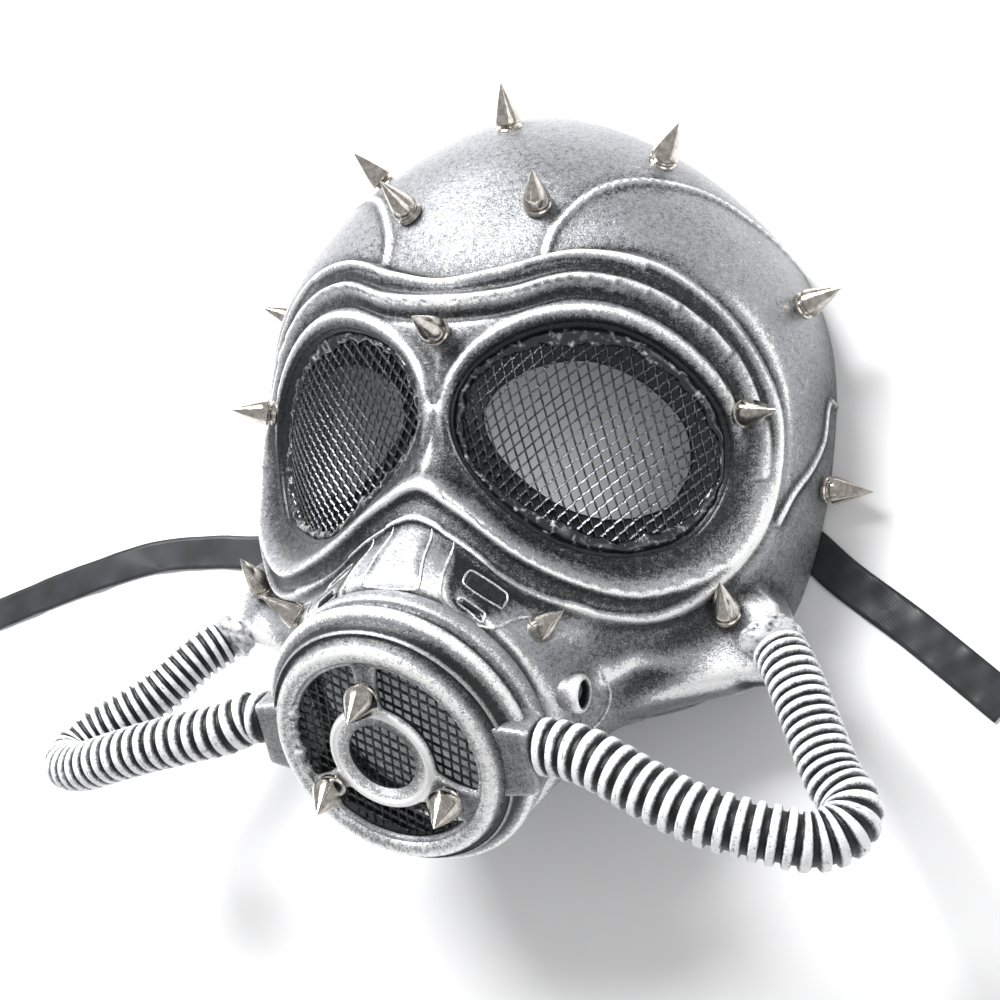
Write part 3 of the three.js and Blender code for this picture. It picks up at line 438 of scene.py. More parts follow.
def domeRadius(d):
    up = d[:, 1] / np.maximum(np.hypot(d[:, 0], d[:, 1]), 1e-9)
    power = 2.5 - np.where(up > 0, 0.72, 0.5) * up
    reach = np.where(d[:, 1] > 0, size["foreheadReach"], size["chinReach"])
    depth = size["cheekDepth"] + (size["foreheadDepth"] - size["cheekDepth"]) * (0.5 + 0.5 * up)
    plan = ((np.abs(d[:, 0]) / size["halfWidth"]) ** power + (np.abs(d[:, 1]) / reach) ** power) ** (1 / power)
    return (plan**3 + (d[:, 2] / depth) ** 3) ** (-1 / 3)


def faceRadius(d):
    reach = np.where(d[:, 1] > 0, size["faceReachUp"], size["faceReachDown"])
    shares = d / np.stack([np.full(len(d), size["faceHalfWidth"]), reach, np.full(len(d), size["faceDepth"])], 1)
    return np.sum(shares**2, axis=1) ** -0.5


snoutFront = canister["depth"] + 0.3
snout = {"radius": size["boreRadius"] + 8.8, "slope": 0.5, "widening": 60, "chinTuck": 0.8, "tuck": (-34, -6)}
jaw = {"inner": np.array([44.0, -92.0, 30.0]), "outer": np.array([84.0, -80.05, 26.0]), "radius": 14.0,
       "collar": 1.3, "collarAt": 53.0, "recess": np.array([91.0, -90.0, 24.0]), "recessStretch": np.array([1.2, 1, 0.62])}
mound = {"from": onCanister(30.0, 6.5, 31.2), "to": onCanister(39.0, 6.0, 32.0), "radius": 7.4}


def snoutDistance(p):
    q = p - canister["front"]
    behind = -(q @ axisOut)
    up = q @ axisUp
    slope = snout["slope"] * (1 - snout["chinTuck"] * (1 - rise(*snout["tuck"], up)))
    widened = slope * np.minimum(behind - snoutFront, snout["widening"])
    cone = (np.hypot(q[:, 0], up) - snout["radius"] - widened) * 0.894
    chin = -0.75 * p[:, 1] - 0.66 * p[:, 2] - 82.5
    return -softMin(-np.maximum(cone, snoutFront - behind), -chin, 6)


# From the nearest point of a short axis to each point
def offAxis(p, start, end):
    along = end - start
    t = np.clip(((p - start) @ along) / (along @ along), 0, 1)
    return p - start - t[:, None] * along


# The jaw bar has a squarish section, so its upper edge shows as a line, and a collar where it leaves the snout
def jawDistance(p):
    square = np.sum(np.abs(offAxis(p, jaw["inner"], jaw["outer"])) ** 5, axis=1) ** 0.2
    collar = jaw["collar"] * (1 - rise(jaw["collarAt"], jaw["collarAt"] + 1.2, p[:, 0])) * rise(30, 40, p[:, 0])
    return square - jaw["radius"] - collar


def moundDistance(p):
    return np.linalg.norm(offAxis(p, mound["from"], mound["to"]), axis=1) - mound["radius"]


# Moulded lines beside the brow, on the cheek and beside the nose, for the right half
foreheadSeam = smoothLine([(28.5, 36), (28.5, 48), (31.5, 55), (37.5, 63), (46, 68.5), (58.5, 72), (71, 74), (84, 74),
                           (104, 80), (128, 96)], 6)
cheekSeam = smoothLine([(140, 24), (132, 21), (130.5, 3), (123, -10.5), (113, -22), (107, -32)], 6)
nosePlate = np.array([(6.2, -30), (6.2, -44.0), (8.0, -53.2), (-8.0, -53.2), (-6.2, -44.0), (-6.2, -30)], float)
ventPanel = smoothLine([(13.8, -47.5), (13.6, -52), (15.2, -56.5), (18.5, -59.2), (24, -60.2), (30, -60.0), (37, -61.5),
                        (43, -64.5), (37, -60), (30, -57), (21, -52)], 4, True)
barEdge = smoothLine([(51.6, -77.6), (55.8, -77.8), (60, -77.2), (66.3, -77.6), (71.9, -76.9), (79.6, -73.4),
                      (85, -70.5)], 5)
ventSlots = [((18.4, -53.0), (27.4, -58.3)), ((18.2, -56.3), (23.2, -59.2))]
# Raised lines laid over the relief, each a fine bead: chart points, half width
beads = {
    "nose_plate": ([(6.2, -43.0), (6.7, -46.5), (7.4, -50.2), (8.0, -53.2), (4.0, -53.9), (0, -54.1), (-4.0, -53.9),
                    (-8.0, -53.2), (-7.4, -50.2), (-6.7, -46.5), (-6.2, -43.0)], 0.5),
    "vent_edge": ([(13.0, -46.2), (12.9, -51), (14.2, -56.4), (17.6, -60.0), (23.5, -61.1), (30, -60.9), (37, -62.6),
                   (42, -65.0)], 0.6),
    "collar": ([(50.6, -74.5), (51.4, -78.3), (52.4, -81.8), (51.4, -86.0), (48.6, -88.6), (44, -90)], 0.5),
}


def eyeOffset(u, v):
    return -5.2 + 0.09 * (v - size["eyeUp"]) + 0.03 * (np.abs(u) - size["eyeAcross"])


# Distance from the centre to the painted surface: the forms run into each other, and the relief lies on them
def outerRadius(u, v):
    u, v = np.ravel(u).astype(float), np.ravel(v).astype(float)
    d = directions(u, v)
    side = np.abs(u)
    mirrored = np.column_stack([np.abs(d[:, 0]), d[:, 1:]])
    outerGap, innerGap = lineDistance(outerLine, u, v), lineDistance(innerLine, u, v)
    inFrame = 1 - rise(1, 6, outerGap)
    dome = domeRadius(d)

    def outside(t):
        p = centre + t[:, None] * mirrored
        body = softMin(softMin(t - dome, snoutDistance(p), 10), moundDistance(p), 5)
        return softMin(body, jawDistance(p), 6)

    far, near, found = np.full(u.shape, 190.0), np.full(u.shape, 40.0), np.zeros(u.shape, bool)
    for k in range(42):
        t = np.full(u.shape, 190.0 - 3 * k)
        hit = (outside(t) < 0) & ~found
        near[hit], far[hit] = t[hit], t[hit] + 3
        found |= hit
    for _ in range(12):
        half = (near + far) / 2
        below = outside(half) < 0
        near, far = np.where(below, half, near), np.where(below, far, half)
    radius = near * (1 - inFrame) + faceRadius(d) * inFrame
    relief = 1.6 * crest(outerGap)
    toEye = np.maximum(lineDistance(eyeLine, side, v), 0)
    share = np.clip(-innerGap, 0, None) / (np.clip(-innerGap, 0, None) + toEye + 1e-9)
    inner = -2.8 + (eyeOffset(u, v) + 1.2) * rise(0, 1, share)
    relief += np.where(innerGap <= 0, inner, np.where(outerGap < 0, -1.8, 0))
    relief += inFrame * 2.6 * crest(innerGap)
    # a rolled lip over each eye, with a groove between it and the ridge
    lip = (innerGap < 0) * rise(-12, 22, v - size["eyeUp"])
    relief += lip * (2.1 * crest(toEye - 2.6, 2.6) - 1.3 * crest(innerGap + 3.4, 1.5))
    relief += (innerGap < 0) * 0.5 * crest(toEye, 1.2)
    plain = 1 - inFrame
    for seam, height in ((foreheadSeam, 0.95), (cheekSeam, 0.9)):
        relief += plain * height * crest(lineDistance(seam, side, v, False), 1.15)
    plate = lineDistance(nosePlate, u, v)
    relief += plain * rise(-42, -45, v) * 0.8 * (1 - rise(-3.0, -0.3, plate))
    vent = lineDistance(ventPanel, side, v)
    relief -= plain * 1.6 * (1 - rise(-1.6, 0.0, vent))
    relief += plain * 1.3 * crest(lineDistance(barEdge, side, v, False), 3.4)
    surface = centre + (radius + relief)[:, None] * mirrored
    relief -= 6.0 * crest(np.linalg.norm((surface - jaw["recess"]) * jaw["recessStretch"], axis=1), 6.0)
    return radius + relief


def shellPoints(u, v, radius):
    return centre + np.asarray(radius)[:, None] * directions(np.ravel(u), np.ravel(v))


def eyeRadius(u, v):
    return faceRadius(directions(np.ravel(u), np.ravel(v))) + eyeOffset(np.ravel(u), np.ravel(v)) - 1.6


# A fine bead that follows a chart line on the outside of the shell
def makeBead(name, line, width, side, closed=False):
    route = smoothLine(line, 6, closed)
    route = evenly(np.vstack([route, route[:1]]) if closed else route, max(20, 6 * len(line)))[0]
    route = route[:-1] if closed else route
    u, v = side * route[:, 0], route[:, 1]
    path = shellPoints(u, v, outerRadius(u, v) + 0.15)
    out = directions(u, v)
    along = np.roll(path, -1, 0) - np.roll(path, 1, 0) if closed else np.gradient(path, axis=0)
    across = np.cross(along, out)
    across /= np.linalg.norm(across, axis=1, keepdims=True)
    angles = np.arange(8) * math.pi / 4
    toEnd = np.minimum(np.arange(len(path)), np.arange(len(path))[::-1])
    taper = np.ones(len(path)) if closed else np.clip(toEnd / 5 + 0.25, 0, 1)
    section = np.cos(angles)[None, :, None] * across[:, None] + 0.8 * np.sin(angles)[None, :, None] * out[:, None]
    sections = path[:, None] + (width * taper)[:, None, None] * section
    bm = sweptPiece(sections, closed)
    layer = bm.verts.layers.float.new("wearAndShade")
    for vert in bm.verts:
        vert[layer] = 0.75
    keepPiece(bm, name, ["shell"])


# The vent's slots: a raised oval rim round a black sheet sunk just under the surface, which is painted shade for the
# inside of the slot
def makeSlot(name, ends, side):
    a, b = (np.array(end, float) for end in ends)
    along = (b - a) / np.linalg.norm(b - a)
    off = np.array([-along[1], along[0]])
    half = 0.8
    turns = [half * (np.cos(t) * along + np.sin(t) * off) for t in np.linspace(-math.pi / 2, math.pi / 2, 7)]
    makeBead(name + "_rim", [b + t for t in turns] + [a - t for t in turns], 0.42, side, True)
    rows, columns = 14, 5
    shares = [off * half * (2 * j / (columns - 1) - 1) for j in range(columns)]
    flat = np.array([a + (b - a) * i / (rows - 1) + share for i in range(rows) for share in shares])
    u, v = side * flat[:, 0], flat[:, 1]
    reach = outerRadius(u, v)
    top, low = (shellPoints(u, v, reach + lift).reshape(rows, columns, 3) for lift in (0.12, -0.5))
    keepPiece(sweptPiece(np.concatenate([top, low[:, ::-1]], 1)), name + "_painted_shade", ["inside"])


# A grid of flat places, closed round, that is pierced by outlines, cut along them and given a back
def piercedSheet(flatPlaces, holes, top, bottom, wearAndShade, closeMiddle):
    rows, columns = flatPlaces.shape[:2]
    bm = bmesh.new()
    bmesh.ops.create_grid(bm, x_segments=columns, y_segments=rows - 1, size=0.5)
    layer = bm.verts.layers.float.new("wearAndShade")
    shares = np.array([v.co for v in bm.verts])[:, :2] + 0.5
    column = np.round(shares[:, 0] * columns).astype(int) % columns
    row = np.round(shares[:, 1] * (rows - 1)).astype(int)
    for vert, place, value in zip(bm.verts, flatPlaces[row, column], wearAndShade[row, column]):
        vert.co = (place[0], place[1], 0)
        vert[layer] = value
    bmesh.ops.remove_doubles(bm, verts=bm.verts, dist=1e-5)
    if closeMiddle:
        start = [e for e in bm.edges if e.is_boundary and max(v.co.xy.length for v in e.verts) < 30]
        bmesh.ops.contextual_create(bm, geom=start)
    middles = np.array([f.calc_center_median() for f in bm.faces])
    gap = np.min([hole(middles[:, 0], middles[:, 1]) for hole in holes], 0)
    bmesh.ops.delete(bm, geom=[f for f, g in zip(list(bm.faces), gap) if g < 0], context="FACES")
    edgeVerts = [v for v in bm.verts if v.is_boundary]
    places = np.array([v.co for v in edgeVerts])[:, :2]
    for _ in range(3):
        for hole in holes:
            g = hole(places[:, 0], places[:, 1])
            aside, above = hole(places[:, 0] + 0.05, places[:, 1]), hole(places[:, 0], places[:, 1] + 0.05)
            slope = np.stack([aside - g, above - g], 1)
            slope /= np.maximum(np.linalg.norm(slope, axis=1, keepdims=True), 1e-6)
            places -= np.where(np.abs(g) < 4, g, 0)[:, None] * slope
    for vert, place in zip(edgeVerts, places):
        vert.co = (place[0], place[1], 0)
    outerFaces = list(bm.faces)
    made = bmesh.ops.extrude_face_region(bm, geom=outerFaces, use_keep_orig=True)["geom"]
    back = {g for g in made if isinstance(g, bmesh.types.BMVert)}
    backFaces = {g for g in made if isinstance(g, bmesh.types.BMFace)}
    verts = list(bm.verts)
    isBack = np.array([v in back for v in verts])
    flat = np.array([v.co for v in verts])[:, :2]
    points = np.zeros((len(verts), 3))
    points[~isBack] = top(flat[~isBack, 0], flat[~isBack, 1])
    points[isBack] = bottom(flat[isBack, 0], flat[isBack, 1])
    for vert, point, hidden in zip(verts, toFrame(points), isBack):
        vert.co = point
        if hidden:
            vert[layer] = -1.0
    outerSet = set(outerFaces)
    for face in bm.faces:
        face.material_index = 2 if face in backFaces else 0 if face in outerSet else 1
    return bm


# How strongly a laid-out surface is bent outwards over a given reach
def bentOutwards(points, middle, reach):
    around, along = np.roll(points, -1, 1) - np.roll(points, 1, 1), np.gradient(points, axis=0)
    normal = np.cross(around, along)
    normal /= np.linalg.norm(normal, axis=2, keepdims=True) + 1e-12
    normal *= np.sign(np.sum(normal * (points - middle), axis=2, keepdims=True))
    bend = np.zeros(points.shape[:2])
    for k in range(1, 9):
        before = np.vstack([points[:1].repeat(k, 0), points[:-k]])
        after = np.vstack([points[k:], points[-1:].repeat(k, 0)])
        for a, b in ((np.roll(points, k, 1), np.roll(points, -k, 1)), (before, after)):
            width = np.linalg.norm(a - b, axis=2) / 2 + 1e-6
            weight = crest(width - reach, 0.5 * reach)
            bend += weight * np.sum((points - (a + b) / 2) * normal, axis=2) / width
    return bend, normal


# How far a closed chart line lies from a start, in one direction
def rayReach(line, angle, start):
    a, b = line - start, np.roll(line, -1, 0) - start
    c, s = math.cos(angle), math.sin(angle)
    sideA, sideB = c * a[:, 1] - s * a[:, 0], c * b[:, 1] - s * b[:, 0]
    cross = (sideA > 0) != (sideB > 0)
    t = sideA[cross] / (sideA[cross] - sideB[cross])
    return float(np.max((a[cross] + t[:, None] * (b[cross] - a[cross])) @ np.array([c, s])))


def makeShell():
    azimuths, inner, outer = 400, 60, 64  # columns round, rows inside the goggle field, rows from there to the rim
    start = np.array([0.0, size["frameMiddle"] + 4.0])
    places = np.zeros((inner + outer, azimuths, 2))
    for i in range(azimuths):
        angle = (i + 0.5) * 2 * math.pi / azimuths
        ray = np.array([math.cos(angle), math.sin(angle)])
        ridge = rayReach(outerLine, angle, start) + 2.5
        rim = 140.6
        for _ in range(3):
            p = start + rim * ray
            # the rim lifts 1.4 mm where a ribbon leaves under it
            lift = 1.4 * math.exp(-(((math.atan2(p[1], abs(p[0])) + math.radians(16.4)) / 0.16) ** 4))
            full = (math.pi / 2 - lift / size["halfWidth"]) * chart
            rim = -start[1] * ray[1] + math.sqrt((start[1] * ray[1]) ** 2 - start[1] ** 2 + full**2)
        field = np.linspace(1.0, ridge, inner, endpoint=False)
        reach = np.r_[field, ridge + (rim - ridge) * np.linspace(0, 1, outer)]
        places[:, i] = start + reach[:, None] * ray
    u, v = places[..., 0], places[..., 1]
    radius = outerRadius(u, v)
    points = shellPoints(u, v, radius).reshape(u.shape + (3,))
    fine, normal = bentOutwards(points, centre, 2.0)
    broad, _ = bentOutwards(points, centre, 6.0)
    # the paint is worn bright on crests and outward bends; only the goggle field's hollows stay really dark
    inField = lineDistance(outerLine, u, v).reshape(u.shape) < 3
    broadShare = np.where((broad > 0) | inField, 0.8, 0.15)
    wearAndShade = np.clip(1.7 * fine + broadShare * broad - np.where(inField, 0.3, 0.12), -0.62, 1.2)
    wearAndShade += 0.8 * crest(lineDistance(barEdge, np.abs(u), v, False).reshape(u.shape), 2.4)
    # painted shade: the flat of the sunken vent panel is darkened for the shade that lies in it
    vent = lineDistance(ventPanel, np.abs(u), v).reshape(u.shape)
    wearAndShade -= 0.7 * (1 - rise(-1.6, -0.4, vent)) * (np.abs(fine) < 0.5)
    # painted shade: the recess at the jaw bar's outer end is darkened for the shade that falls in it
    folded = np.concatenate([np.abs(points[..., :1]), points[..., 1:]], 2)
    wearAndShade -= 2.2 * crest(np.linalg.norm((folded - jaw["recess"]) * jaw["recessStretch"], axis=2), 6.5)
    # the inside is smooth: it follows the outside with the relief ironed out
    facing = np.maximum(np.sum(normal * directions(u, v).reshape(points.shape), axis=2), 0.6)
    low = radius.reshape(u.shape) - size["wall"] / facing
    for _ in range(6):
        beside = np.roll(low, 1, 1) + np.roll(low, -1, 1) + np.vstack([low[:1], low[:-1]]) + np.vstack([low[1:], low[-1:]])
        low = np.minimum(low, beside / 4 + 0.15)
    circle = np.arange(72) * 2 * math.pi / 72
    bore = toChart(onCanister(size["boreRadius"] * np.cos(circle), size["boreRadius"] * np.sin(circle), snoutFront))
    holes = [lambda a, b: lineDistance(eyeLine, a, b), lambda a, b: lineDistance(eyeLine, -a, b),
             lambda a, b: lineDistance(bore, a, b)]
    # vertices of the grid take the values already worked out, and only those moved to an outline need new ones
    known = {(round(a, 3), round(b, 3)): k for k, (a, b) in enumerate(zip(u.ravel(), v.ravel()))}

    def lookUp(a, b, values, fallback):
        index = np.array([known.get((round(float(x), 3), round(float(y), 3)), -1) for x, y in zip(a, b)])
        out = values[index].copy()
        missing = index < 0
        out[missing] = fallback(a[missing], b[missing])
        return out

    def top(a, b):
        return shellPoints(a, b, lookUp(a, b, radius, outerRadius))

    def bottom(a, b):
        reach = lookUp(a, b, low.ravel(), lambda x, y: outerRadius(x, y) - size["wall"] / 0.92)
        q, p = shellPoints(a, b, reach), shellPoints(a, b, lookUp(a, b, radius, outerRadius))
        rim = np.hypot(a, b) > 138.9
        q[rim, 2] = p[rim, 2]
        return q

    bm = piercedSheet(places, holes, top, bottom, wearAndShade, True)
    # the back faces take the mid grey that is painted light for the table seen through the openings
    keepPiece(bm, "shell_fine", ["shell", "inside", "paintedLightBack"], ("mask_shell",))


print("shell")
makeShell()
for word, side in (("right", 1), ("left", -1)):
    for name, (line, width) in beads.items():
        if name != "nose_plate" or side > 0:
            makeBead(name + "_bead_" + word, line, width, side)
    for number, ends in enumerate(ventSlots, 1):
        makeSlot("vent_slot_" + word + "_" + str(number), ends, side)


# The eyes: a black ledge behind each opening, expanded metal on it and hot glue squeezed round the edge
def offsetLine(line, offset):
    along = np.roll(line, -1, 0) - np.roll(line, 1, 0)
    along /= np.linalg.norm(along, axis=1, keepdims=True)
    return line + np.stack([-along[:, 1], along[:, 0]], 1) * np.asarray(offset)[..., None]


def eyeRing(line, offset, depth, side):
    p = offsetLine(line, np.broadcast_to(offset, len(line)))
    return shellPoints(side * p[:, 0], p[:, 1], eyeRadius(p[:, 0], p[:, 1]) + depth)


# offset outwards from the eye's edge, height over the eye's surface
seatProfile = [(1.5, -0.9), (1.5, -6.4), (-10.0, -6.4), (-10.4, -5.4), (-10.0, -4.5), (-0.6, -4.5), (-0.4, -4.1),
               (-0.3, -0.9)]
eyes = {"right": {"side": 1, "seed": 5}, "left": {"side": -1, "seed": 11}}
# the two sides of one rhomb, the strand's width and thickness, its tip, and how far the net stays inside the edge
lensNet = {"first": (2.54, 2.58), "second": (1.24, -3.39), "strand": 0.62, "thickness": 0.45, "twist": 0.42,
           "edge": -0.8}
doubleArea = np.sum(eyeLine[:, 0] * np.roll(eyeLine[:, 1], -1) - eyeLine[:, 1] * np.roll(eyeLine[:, 0], -1))
turning = 1.0 if doubleArea < 0 else -1.0


def makeSeat(name, side):
    line = eyeCurve(14)
    sections = np.stack([eyeRing(line, turning * e, d, side) for e, d in seatProfile], 1)
    keepPiece(sweptPiece(sections, True), name, ["inside"])


# Rhombs of a slanted grid are inset and their middles taken out; each strand is tipped as the cut sheet was pulled
def expandedMetal(net, side, inside, place):
    bm = bmesh.new()
    count = 44
    bmesh.ops.create_grid(bm, x_segments=count, y_segments=count, size=count / 2)
    first, second = np.array(net["first"]) * (side, 1), np.array(net["second"]) * (side, 1)
    for vert in bm.verts:
        flat = vert.co.x * first + vert.co.y * second
        vert.co = (flat[0], flat[1], 0)
    middles = np.array([f.calc_center_median() for f in bm.faces])
    keep = inside(middles[:, 0], middles[:, 1])
    bmesh.ops.delete(bm, geom=[f for f, k in zip(list(bm.faces), keep) if not k], context="FACES")
    windows = list(bm.faces)
    bmesh.ops.inset_individual(bm, faces=windows, thickness=net["strand"] / 2, depth=0, use_even_offset=True)
    for face in windows:
        middle = face.calc_center_median()
        for vert in face.verts:
            vert.co.z = net["twist"] * (vert.co.y - middle.y) / abs(second[1])
    bmesh.ops.delete(bm, geom=windows, context="FACES")
    made = bmesh.ops.extrude_face_region(bm, geom=list(bm.faces), use_keep_orig=True)["geom"]
    for vert in made:
        if isinstance(vert, bmesh.types.BMVert):
            vert.co.z -= net["thickness"]
    points = np.array([v.co for v in bm.verts])
    for vert, point in zip(bm.verts, toFrame(place(points))):
        vert.co = point
    return bm


def makeLens(name, side, node):
    outline = eyeLine * [side, 1]
    middle = np.array([side * size["eyeAcross"], size["eyeUp"]])

    def inside(x, y):
        return lineDistance(outline, x + middle[0], y + middle[1]) < lensNet["edge"]

    def place(p):
        u, v = p[:, 0] + middle[0], p[:, 1] + middle[1]
        return shellPoints(u, v, eyeRadius(u, v) - size["seatDepth"] + 0.75 + p[:, 2])

    keepPiece(expandedMetal(lensNet, side, inside, place), name, ["net"], (node,), False)


# A wavering value round a piece, from waves of random height and phase
def wander(t, rng, waves, falloff=0.4):
    return sum(rng.uniform(0.5, 1) * np.sin(k * t + rng.uniform(0, 6.28)) / k**falloff for k in waves)


# offset inwards and height of the glue's section round the eye, in shares of its width and thickness
glueSection = [(-0.15, -0.9), (-0.02, 0.2), (0.2, 0.85), (0.45, 1.0), (0.7, 0.75), (0.9, 0.35), (1.0, -0.1), (0.9, -0.6),
               (0.5, -0.8), (0.1, -1.0)]


def makeEyeGlue(name, side, seed):
    rng = np.random.default_rng(seed)
    line, _ = evenly(np.vstack([eyeCurve(12), eyeCurve(12)[:1]]), 401)
    line = line[:-1]
    t = np.arange(len(line)) / len(line) * 2 * math.pi
    width = np.clip(3.4 + 2.0 * wander(t, rng, (2, 5, 9, 17, 31)), 1.2, 7.0)
    thick = np.clip(1.3 + 0.9 * wander(t, rng, (3, 8, 21, 33)), 0.5, 2.8)
    rows = []
    for inward, height in glueSection:
        jitter = 1 + 0.12 * wander(t, rng, (37, 61, 83), 0.2)
        lift = 0.9 - size["seatDepth"] + height * thick * jitter
        rows.append(eyeRing(line, -turning * (0.35 + inward * width * jitter), lift, side))
    keepPiece(sweptPiece(np.stack(rows, 1), True), name, ["wetGlue"])


print("eyes")
for word, eye in eyes.items():
    makeSeat("eye_seat_" + word, eye["side"])
    makeLens("eye_mesh_" + word, eye["side"], "lens_net_" + word)
    makeEyeGlue("eye_glue_" + word, eye["side"], eye["seed"])


# The filter canister. Rows: radius, depth behind the front crest, and how far it stands proud for the paint's wear
canisterProfile = [
    (31.2, 1.6, 0.2), (31.8, 0.4, 0.9), (33.2, -0.5, 0.7), (35.0, -0.6, 1.1), (36.6, 0.4, 0.7), (37.3, 2.2, -0.2),
    (38.2, 3.6, -0.7), (39.0, 3.9, -0.6), (39.4, 3.6, 0.4), (39.9, 4.2, 0.2), (40.1, 5.2, -1.0), (40.5, 6.6, -1.0),
    (41.4, 7.8, -0.2), (42.9, 8.4, 0.8), (44.1, 9.4, 1.2), (44.4, 10.8, 0.8), (43.9, 12.0, 0.0), (42.4, 12.9, -0.9),
    (41.8, 14.2, -0.9), (42.4, 15.5, -0.1), (43.7, 16.3, 0.7), (44.2, 18.0, 0.5), (43.9, 21.0, 0.2), (42.6, 23.1, -0.4)]
grilleArms = {90: 3.2, 210: 3.2, 328: 5.6}  # degrees round the face, half width
filterNet = {"first": (2.73, -1.28), "second": (-0.43, -3.31), "strand": 0.62, "thickness": 0.4, "twist": 0.3}


def makeCanisterBody():
    profile = [(r, -s, wear) for r, s, wear in smoothLine(canisterProfile, 4)]
    profile += [(40.2, -canister["depth"], -1.2), (40.2, -8.0, -1.2), (31.2, -6.0, -1.2)]
    bm = turnedPiece(profile, 180, canister["front"], axisOut, True)
    keepPiece(bm, "canister_ring_fine", ["shell"], ("filter_canister",))


# Distance inside the grille's solid parts: its rim, its hub ring and its three arms
def grilleGap(x, y):
    r = np.hypot(x, y)
    solid = np.minimum(np.abs(r - canister["hub"]) - 1.7, 30.0 - r)
    for degrees, half in grilleArms.items():
        c, s = math.cos(math.radians(degrees)), math.sin(math.radians(degrees))
        along, off = x * c + y * s, np.abs(-x * s + y * c)
        flare = 0.09 * np.abs(along - 22.5) ** 1.2
        solid = softMin(solid, np.maximum(off - half - flare, canister["hub"] - along), 1.5)
    return -solid


def makeGrille():
    radii, angles = np.linspace(11.0, 32.4, 66), np.arange(300) * 2 * math.pi / 300
    places = np.stack([radii[:, None] * np.cos(angles), radii[:, None] * np.sin(angles)], 2)

    def domed(a, b):
        return canister["dome"] * np.clip(1 - (np.hypot(a, b) / canister["grille"]) ** 2, 0, 1) - canister["sunk"]

    def edgeRound(a, b):
        return np.sqrt(np.clip(1 - (1 - np.clip(grilleGap(a, b) / 1.5, 0, 1)) ** 2, 0, 1))

    def top(a, b):
        ring = 0.8 * crest(np.hypot(a, b) - canister["hub"], 1.6)
        return onCanister(a, b, -(domed(a, b) - 1.4 + 1.4 * edgeRound(a, b) + ring))

    x, y = places[..., 0].ravel(), places[..., 1].ravel()
    wearAndShade = 1.15 * crest(np.hypot(x, y) - canister["hub"], 1.5) + 0.8 * crest(grilleGap(x, y) - 0.7, 0.8) - 0.1
    holes = [grilleGap, lambda a, b: np.hypot(a, b) - 11.05]
    bottom = lambda a, b: onCanister(a, b, 2.3 - domed(a, b))
    bm = piercedSheet(places, holes, top, bottom, wearAndShade.reshape(places.shape[:2]), False)
    keepPiece(bm, "canister_grille_fine", ["shell", "inside", "inside"])


def makeFilterNet():
    place = lambda p: onCanister(p[:, 0], p[:, 1], 4.2 - p[:, 2])
    bm = expandedMetal(filterNet, 1, lambda x, y: np.hypot(x, y) < 30.6, place)
    keepPiece(bm, "filter_mesh_fine", ["net"], ("filter_net",), False)


# Side port that the hose is pushed into: a block with rounded edges, narrower at its outer end
portSize = {"size": (13.5, 25.0, 14.0), "behind": 10.0, "up": -0.5, "narrowing": 0.86, "edge": 1.5}


def makePort(name, side):
    bm = bmesh.new()
    bmesh.ops.create_cube(bm, size=1.0)
    basis = np.stack([np.array([1.0, 0, 0]), axisUp, axisOut], 1)
    middle = onCanister(side * (canister["port"] - portSize["size"][0] / 2), portSize["up"], portSize["behind"])
    for vert in bm.verts:
        q = np.array(vert.co) * np.array(portSize["size"])
        if q[0] * side > 0:
            q[1:] *= portSize["narrowing"]
        vert.co = toFrame(middle + basis @ q)
    bmesh.ops.bevel(bm, geom=bm.edges[:], offset=portSize["edge"] / 1000, segments=3, profile=0.5, affect="EDGES",
                    material=-1)
    bmesh.ops.subdivide_edges(bm, edges=[e for e in bm.edges if e.calc_length() > 0.008], cuts=8, use_grid_fill=True)
    markProud(bm, 2.4)
    keepPiece(bm, name, ["shell"])


# Short pipe beside the snout, lying in a swelling of the shell, with a lip round its dark bore. Rows: radius, distance out
stubProfile = [(0, 0, 0), (5.0, 0, 0), (5.2, 8.0, 0.2), (5.5, 11.5, 0.4), (5.8, 13.2, 0.8), (5.6, 14.6, 1.2), (4.9, 15.3, 1.2), (4.2, 15.1, 0.2), (3.7, 14.0, -1.5), (3.5, 6.0, -1.8), (0, 5.8, -1.8)]


def makeStub(name, side):
    base = onCanister(side * 37.5, 6.5, snoutFront + 7.4)
    bm = turnedPiece(smoothLine(stubProfile, 3), 48, base, (side, 0, 0))
    keepPiece(bm, name, ["shell"])


# Silvered glue that ran out along the left edge of the canister's face
def makeCanisterGlue():
    rng = np.random.default_rng(31)
    t = np.linspace(0, 1, 90)
    angle = np.radians(150 + 85 * t)
    fade = np.clip(np.minimum(t, 1 - t) * 8, 0, 1)
    girth = np.clip(1.35 + 0.55 * wander(9 * t, rng, (2, 5, 9, 14), 0.3), 0.6, 2.4) * np.sqrt(fade + 0.02)
    around = np.arange(12) * 2 * math.pi / 12
    rows = []
    for a in around:
        jitter = 1 + 0.16 * wander(9 * t, rng, (13, 23, 31), 0.1)
        r = 31.0 + 0.7 * wander(9 * t, rng, (4, 11), 0.2) + girth * jitter * math.cos(a)
        rows.append(onCanister(r * np.cos(angle), r * np.sin(angle), 0.9 - girth * jitter * math.sin(a) * 0.8))
    keepPiece(sweptPiece(np.stack(rows, 1)), "canister_glue", ["glue"])


print("canister")
makeCanisterBody()
makeGrille()
makeFilterNet()
makeCanisterGlue()
for word, side in (("right", 1), ("left", -1)):
    makePort("canister_port_" + word, side)
    makeStub("pipe_stub_" + word, side)


